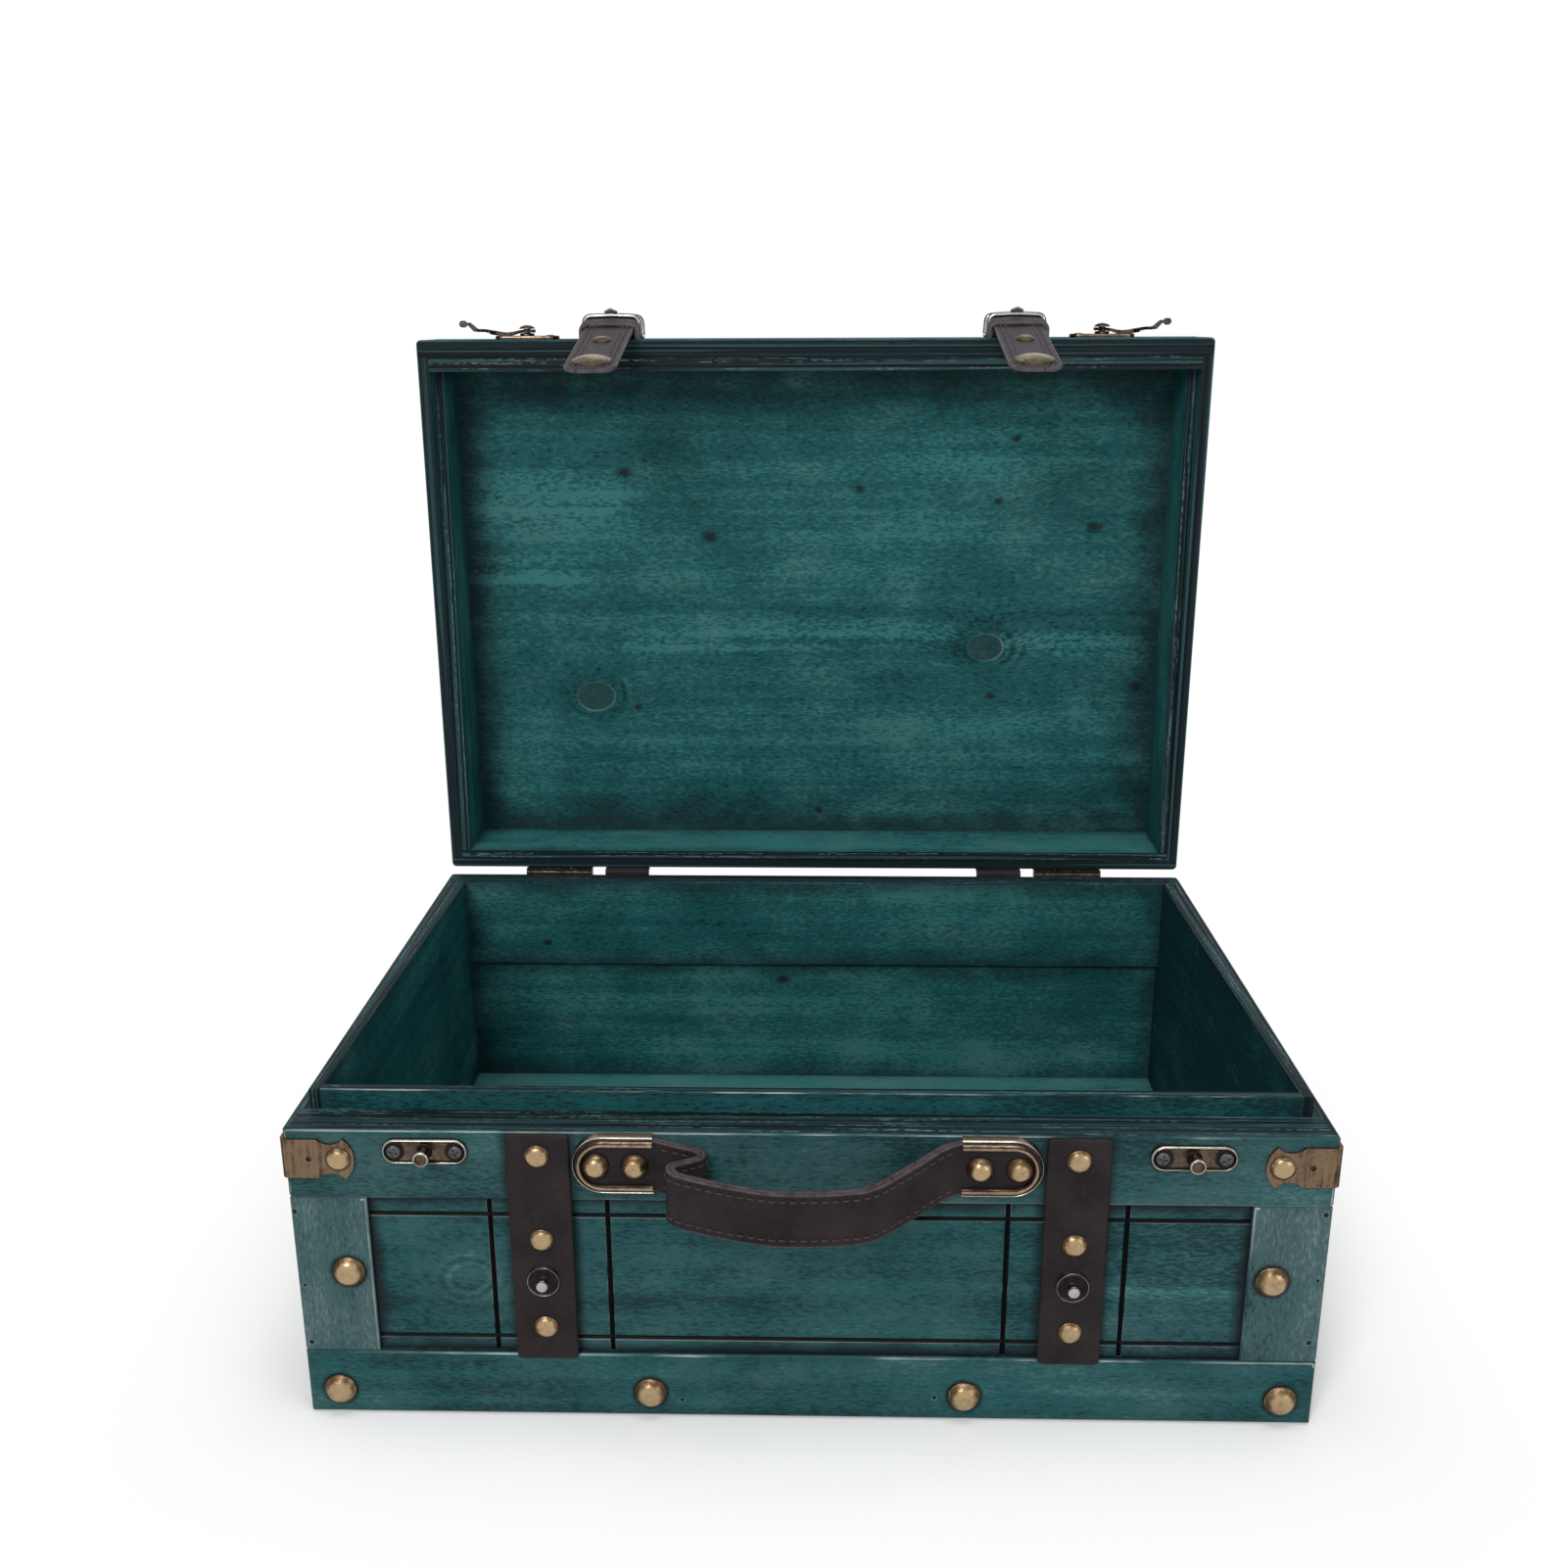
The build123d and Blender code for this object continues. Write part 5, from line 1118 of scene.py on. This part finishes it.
def hooks():
    """The CAD hook arms, bowed and rounded like castings."""
    for side in ("left", "right"):
        node = f"{side}_hook"
        pivot = middle(f"{side}_pivot_plate") / MM
        shell = bmesh.new()
        shell.from_mesh(frame["nodes"][node].data)
        bmesh.ops.remove_doubles(shell, verts=shell.verts, dist=1e-7)
        sign = math.copysign(1.0, pivot.x)
        for k in range(-2, 19):
            cut = Vector((pivot.x + sign * k * 1.5, 0.0, 0.0)) * MM
            everything = shell.verts[:] + shell.edges[:] + shell.faces[:]
            bmesh.ops.bisect_plane(shell, geom=everything, plane_co=cut, plane_no=ACROSS)
        arm = (low(node).z + high(node).z) / 2
        for vert in shell.verts:
            reach = max((vert.co.x / MM - pivot.x) * sign, 0.0)
            swell = 0.45 * math.sin(math.pi * min(max((reach - 4.0) / 14.0, 0.0), 1.0))
            vert.co.z += hook_bow(reach) * MM + (vert.co.z - arm) * swell
            vert.co.y += (vert.co.y - pivot.y * MM) * swell * 0.5
        mesh = bpy.data.meshes.new(f"{node}_cast")
        shell.to_mesh(mesh)
        shell.free()
        mesh.materials.append(DARK_BRONZE)
        item = bpy.data.objects.new(f"{node}_cast", mesh)
        bpy.context.scene.collection.objects.link(item)
        round_off(item, 0.4, 3)
        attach(item, f"{side}_hook_body")
        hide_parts(node)


# Snap studs, tacks and screws

STUD = [(AXIS, 4.0), (0.9, 4.0), (1.55, 3.92), (1.95, 3.7), (2.15, 3.3), (2.1, 2.7), (1.8, 2.25), (1.62, 1.8),
        (1.65, 0.7), (2.0, 0.42), (2.5, 0.42), (2.65, 0.55), (2.85, 0.42), (3.5, 0.40), (3.65, 0.54), (3.85, 0.42),
        (4.3, 0.48), (4.62, 0.8), (4.82, 1.16), (5.05, 1.28), (5.26, 1.16), (5.38, 0.85), (5.4, 0.4), (5.4, 0.0),
        (AXIS, 0.0)]


TACK = [(AXIS, 0.90), (0.06, 0.905), (0.11, 0.95), (0.17, 0.985), (0.26, 1.0), (0.40, 0.965), (0.55, 0.87),
        (0.68, 0.74), (0.79, 0.58), (0.87, 0.42), (0.93, 0.27), (0.965, 0.16), (1.0, 0.13), (1.02, 0.08), (1.02, 0.0),
        (AXIS, 0.0)]
TACK_MARKS = [0] * 11 + [1] * 4


def outward(centre):
    """Which way the face behind a fastener looks, from where the fastener is."""
    if centre.z > LID_FRONT_TOP - 1.0 or centre.z < LID_UNDER + 0.5 and centre.y > HINGE_AT.y + 2.0:
        return UPWARD if centre.z > HINGE_AT.z * 2 else -UPWARD
    if centre.y > BACK - 1.0:
        return BACKWARD
    return -BACKWARD if centre.y < FRONT + 1.0 else ACROSS * math.copysign(1.0, centre.x)


def tacks(node, body, name):
    """Domed tacks with a small dimple and a dark rolled rim, in place of a node's plain ones."""
    shape = Shape()
    for centre, size in islands(node):
        axis = outward(centre)
        tall, radius = min(size), max(size) / 2
        profile = [(r * radius, h * tall) for r, h in TACK]
        lathe(shape, centre - axis * tall / 2, axis, profile, 36, TACK_MARKS)
    shape.piece(name, body, "antique_brass", BRASS, DARK_METAL, replaces=[node])


def snap_studs():
    shape = Shape()
    place_z = middle("snap_studs").z / MM
    marks = [0] * 8 + [1] * 9 + [0] * 7
    for x in STRAPS:
        lathe(shape, Vector((x, FRONT - STRAP_THICK, place_z)), -BACKWARD, STUD, 48, marks)
    shape.piece("snap_studs_turned", "base", "antique_brass", NICKEL, DARK_METAL, replaces=["snap_studs"])


def islands(node):
    """Centre and box size of every separate solid in a CAD node, in millimetres."""
    shell = bmesh.new()
    shell.from_mesh(frame["nodes"][node].data)
    bmesh.ops.remove_doubles(shell, verts=shell.verts, dist=1e-6)
    left, found = set(shell.verts), []
    while left:
        queue, members = [left.pop()], []
        while queue:
            vert = queue.pop()
            members.append(vert.co / MM)
            near = {edge.other_vert(vert) for edge in vert.link_edges} & left
            left -= near
            queue += near
        lowest, highest = (Vector([pick(p[i] for p in members) for i in range(3)]) for pick in (min, max))
        found.append(((lowest + highest) / 2, highest - lowest))
    shell.free()
    return sorted(found, key=lambda entry: tuple(round(c, 2) for c in entry[0]))


CROSS_LONG, CROSS_WIDE, CROSS_DEEP, CROSS_RISE = 1.24, 0.26, 1.2, 1.12


def cross_head():
    """A unit screw head with a cross recess: radius 1, height 1 along z."""
    head = Shape()
    profile = [(AXIS, 1.0), (0.3, 0.985), (0.55, 0.9), (0.78, 0.72), (0.92, 0.5), (0.99, 0.28), (1.0, 0.0), (AXIS, 0.0)]
    lathe(head, Vector((0, 0, 0)), UPWARD, profile, 32)
    dome = head.piece("head_blank", "base", "blackened_steel", STEEL)
    dome.data.transform(Matrix.Scale(1 / MM, 4))
    cutter = bmesh.new()
    for size in ((CROSS_LONG, CROSS_WIDE), (CROSS_WIDE, CROSS_LONG)):
        for vert in bmesh.ops.create_cube(cutter, size=1.0)["verts"]:
            vert.co = Vector((vert.co.x * size[0], vert.co.y * size[1], vert.co.z * CROSS_DEEP + CROSS_RISE))
    block = bpy.data.meshes.new("head_cutter")
    cutter.to_mesh(block)
    cutter.free()
    tool = bpy.data.objects.new("head_cutter", block)
    bpy.context.scene.collection.objects.link(tool)
    return carved(dome, tool, crossed=True)


def screws(node, body, name, outward):
    """Cross-head screws in place of a node's plain ones, each turned by its own angle."""
    shape = Shape()
    for number, (centre, size) in enumerate(islands(node)):
        axis = outward(centre)
        side = axis.orthogonal().normalized()
        other = axis.cross(side)
        tall, radius = min(size), max(size) / 2
        cos, sin = math.cos(0.55 + number * 1.9) * radius, math.sin(0.55 + number * 1.9) * radius
        first = len(shape.points)
        foot = centre - axis * tall / 2
        shape.points += [foot + side * (p.x * cos - p.y * sin) + other * (p.x * sin + p.y * cos) + axis * (p.z * tall)
                         for p in HEAD.points]
        shape.faces += [tuple(first + i for i in face) for face in HEAD.faces]
        shape.marks += [0] * len(HEAD.faces)
    shape.piece(name, body, "blackened_steel", STEEL, replaces=[node])


# Stage, lamps and camera


def seen_white(tree):
    """1 for rays that look straight, by reflection or through glass, and 0 for the light that falls on the object."""
    rays = tree.nodes.new("ShaderNodeLightPath")
    words = ("Is Camera Ray", "Is Glossy Ray", "Is Transmission Ray")
    seen, glossy, through = (Value(tree, rays.outputs[word]) for word in words)
    return most(through, most(glossy, seen))


FLOOR_HALF = 6.0
FLOOR_DROP = 0.0002
FLOOR_FADE = (0.003, 0.085)


def floor():
    """A plain pale floor that holds the object's shadow and runs out into the white backdrop."""
    mesh = bpy.data.meshes.new("floor")
    corners = [(x * FLOOR_HALF, y * FLOOR_HALF, -FLOOR_DROP) for x, y in ((-1, -1), (1, -1), (1, 1), (-1, 1))]
    mesh.from_pydata(corners, [], [(0, 1, 2, 3)])
    plane = bpy.data.objects.new("floor", mesh)
    bpy.context.scene.collection.objects.link(plane)
    look = Look("floor_paper")
    look.finish(FLOOR_COLOUR, 0.9, look.bump(look.noise(look.point, 40.0), 0.02, 0.0005), specular=0.1)
    tree = look.tree
    away = look.vector("SUBTRACT", look.vector("ABSOLUTE", look.point), (HALF_WIDTH, BACK_Y, 0.0))
    away = look.vector("MAXIMUM", look.vector("MULTIPLY", away, (1.0, 1.0, 0.0)))
    far = look.vector("LENGTH", away).ramp(*FLOOR_FADE) * seen_white(tree)
    white = tree.nodes.new("ShaderNodeEmission")
    feed(white.inputs, ((1.0, 1.0, 1.0), 1.0))
    blend = tree.nodes.new("ShaderNodeMixShader")
    feed(blend.inputs, (far, Value(tree, look.shader.outputs[0]), Value(tree, white.outputs[0])))
    feed(tree.nodes["Material Output"].inputs, [Value(tree, blend.outputs[0])])
    mesh.materials.append(look.material)


def backdrop_light():
    """White all round for the camera and for reflections, and a level soft light on the object."""
    world = bpy.data.worlds.new("studio")
    bpy.context.scene.world = world
    world.use_nodes = True
    tree = world.node_tree
    level = seen_white(tree) * (1.0 - AMBIENT) + AMBIENT
    feed(tree.nodes["Background"].inputs, ((1.0, 1.0, 1.0), level))


AMBIENT = 0.36


def lamp(name, place, target, size, level):
    """A square soft box that lights a surface square to it at its target with the given level."""
    data = bpy.data.lights.new(name, "AREA")
    data.shape = "SQUARE"
    data.size = size
    reach = (Vector(target) - Vector(place)).length
    data.energy = level * math.pi**2 * reach**2
    item = bpy.data.objects.new(name, data)
    item.location = place
    item.rotation_euler = (Vector(target) - Vector(place)).to_track_quat("-Z", "Y").to_euler()
    bpy.context.scene.collection.objects.link(item)


def lamps():
    lamp("key", (-0.75, -2.05, 1.85), (0.0, 0.0, 0.14), 1.0, 0.55)
    lamp("fill", (1.70, -1.50, 0.80), (0.0, 0.0, 0.15), 1.2, 0.16)
    lamp("top", (0.10, -0.20, 2.20), (0.0, 0.0, 0.1), 1.1, 0.32)


def camera():
    """The photograph's view, worked out from the corners of the case."""
    place = Vector((0.0042, -0.5426, 0.3482))
    yaw, pitch, roll = (math.radians(a) for a in (-1.47, 16.84, -0.23))
    focal_pixels, frame_pixels, sensor = 1572.6, 1601.0, 36.0
    forward = Vector((math.sin(yaw) * math.cos(pitch), math.cos(yaw) * math.cos(pitch), -math.sin(pitch)))
    right = Vector((math.cos(yaw), -math.sin(yaw), 0.0))
    up = right.cross(forward)
    across = right * math.cos(roll) + up * math.sin(roll)
    upward = up * math.cos(roll) - right * math.sin(roll)
    data = bpy.data.cameras.new("camera")
    data.sensor_width = sensor
    data.lens = sensor * focal_pixels / frame_pixels
    data.clip_start = 0.01
    item = bpy.data.objects.new("camera", data)
    turn = Matrix((across, upward, -forward)).transposed().to_4x4()
    item.matrix_world = Matrix.Translation(place) @ turn
    bpy.context.scene.collection.objects.link(item)
    bpy.context.scene.camera = item


dress_boards()
dress_metal()
front_straps()
for place, word in zip(STRAPS, ("left", "right")):
    long_strap(place, f"{word}_long_strap")
    fold_layer(place, f"{word}_keeper_leather")
    flap_pieces(place, word)
    buckle(place, word)
handle_band()
handle_plates()
snap_studs()
latch_plates()
hooks()
for word in ("rail", "base_strap", "bracket", "handle"):
    tacks(f"{word}_tacks", "base", f"{word}_tacks_turned")
tacks("lid_strap_tacks", "lid", "lid_strap_tacks_turned")
HEAD = cross_head()
screws("base_screws", "base", "base_screws_cross", lambda p: BACKWARD if p.y > 0 else -BACKWARD)
screws("lid_screws", "lid", "lid_screws_cross", lambda p: UPWARD if p.z > HINGE_AT.z * 2 else -UPWARD)
floor()
backdrop_light()
lamps()
camera()
bpy.context.scene.view_settings.view_transform = "Standard"
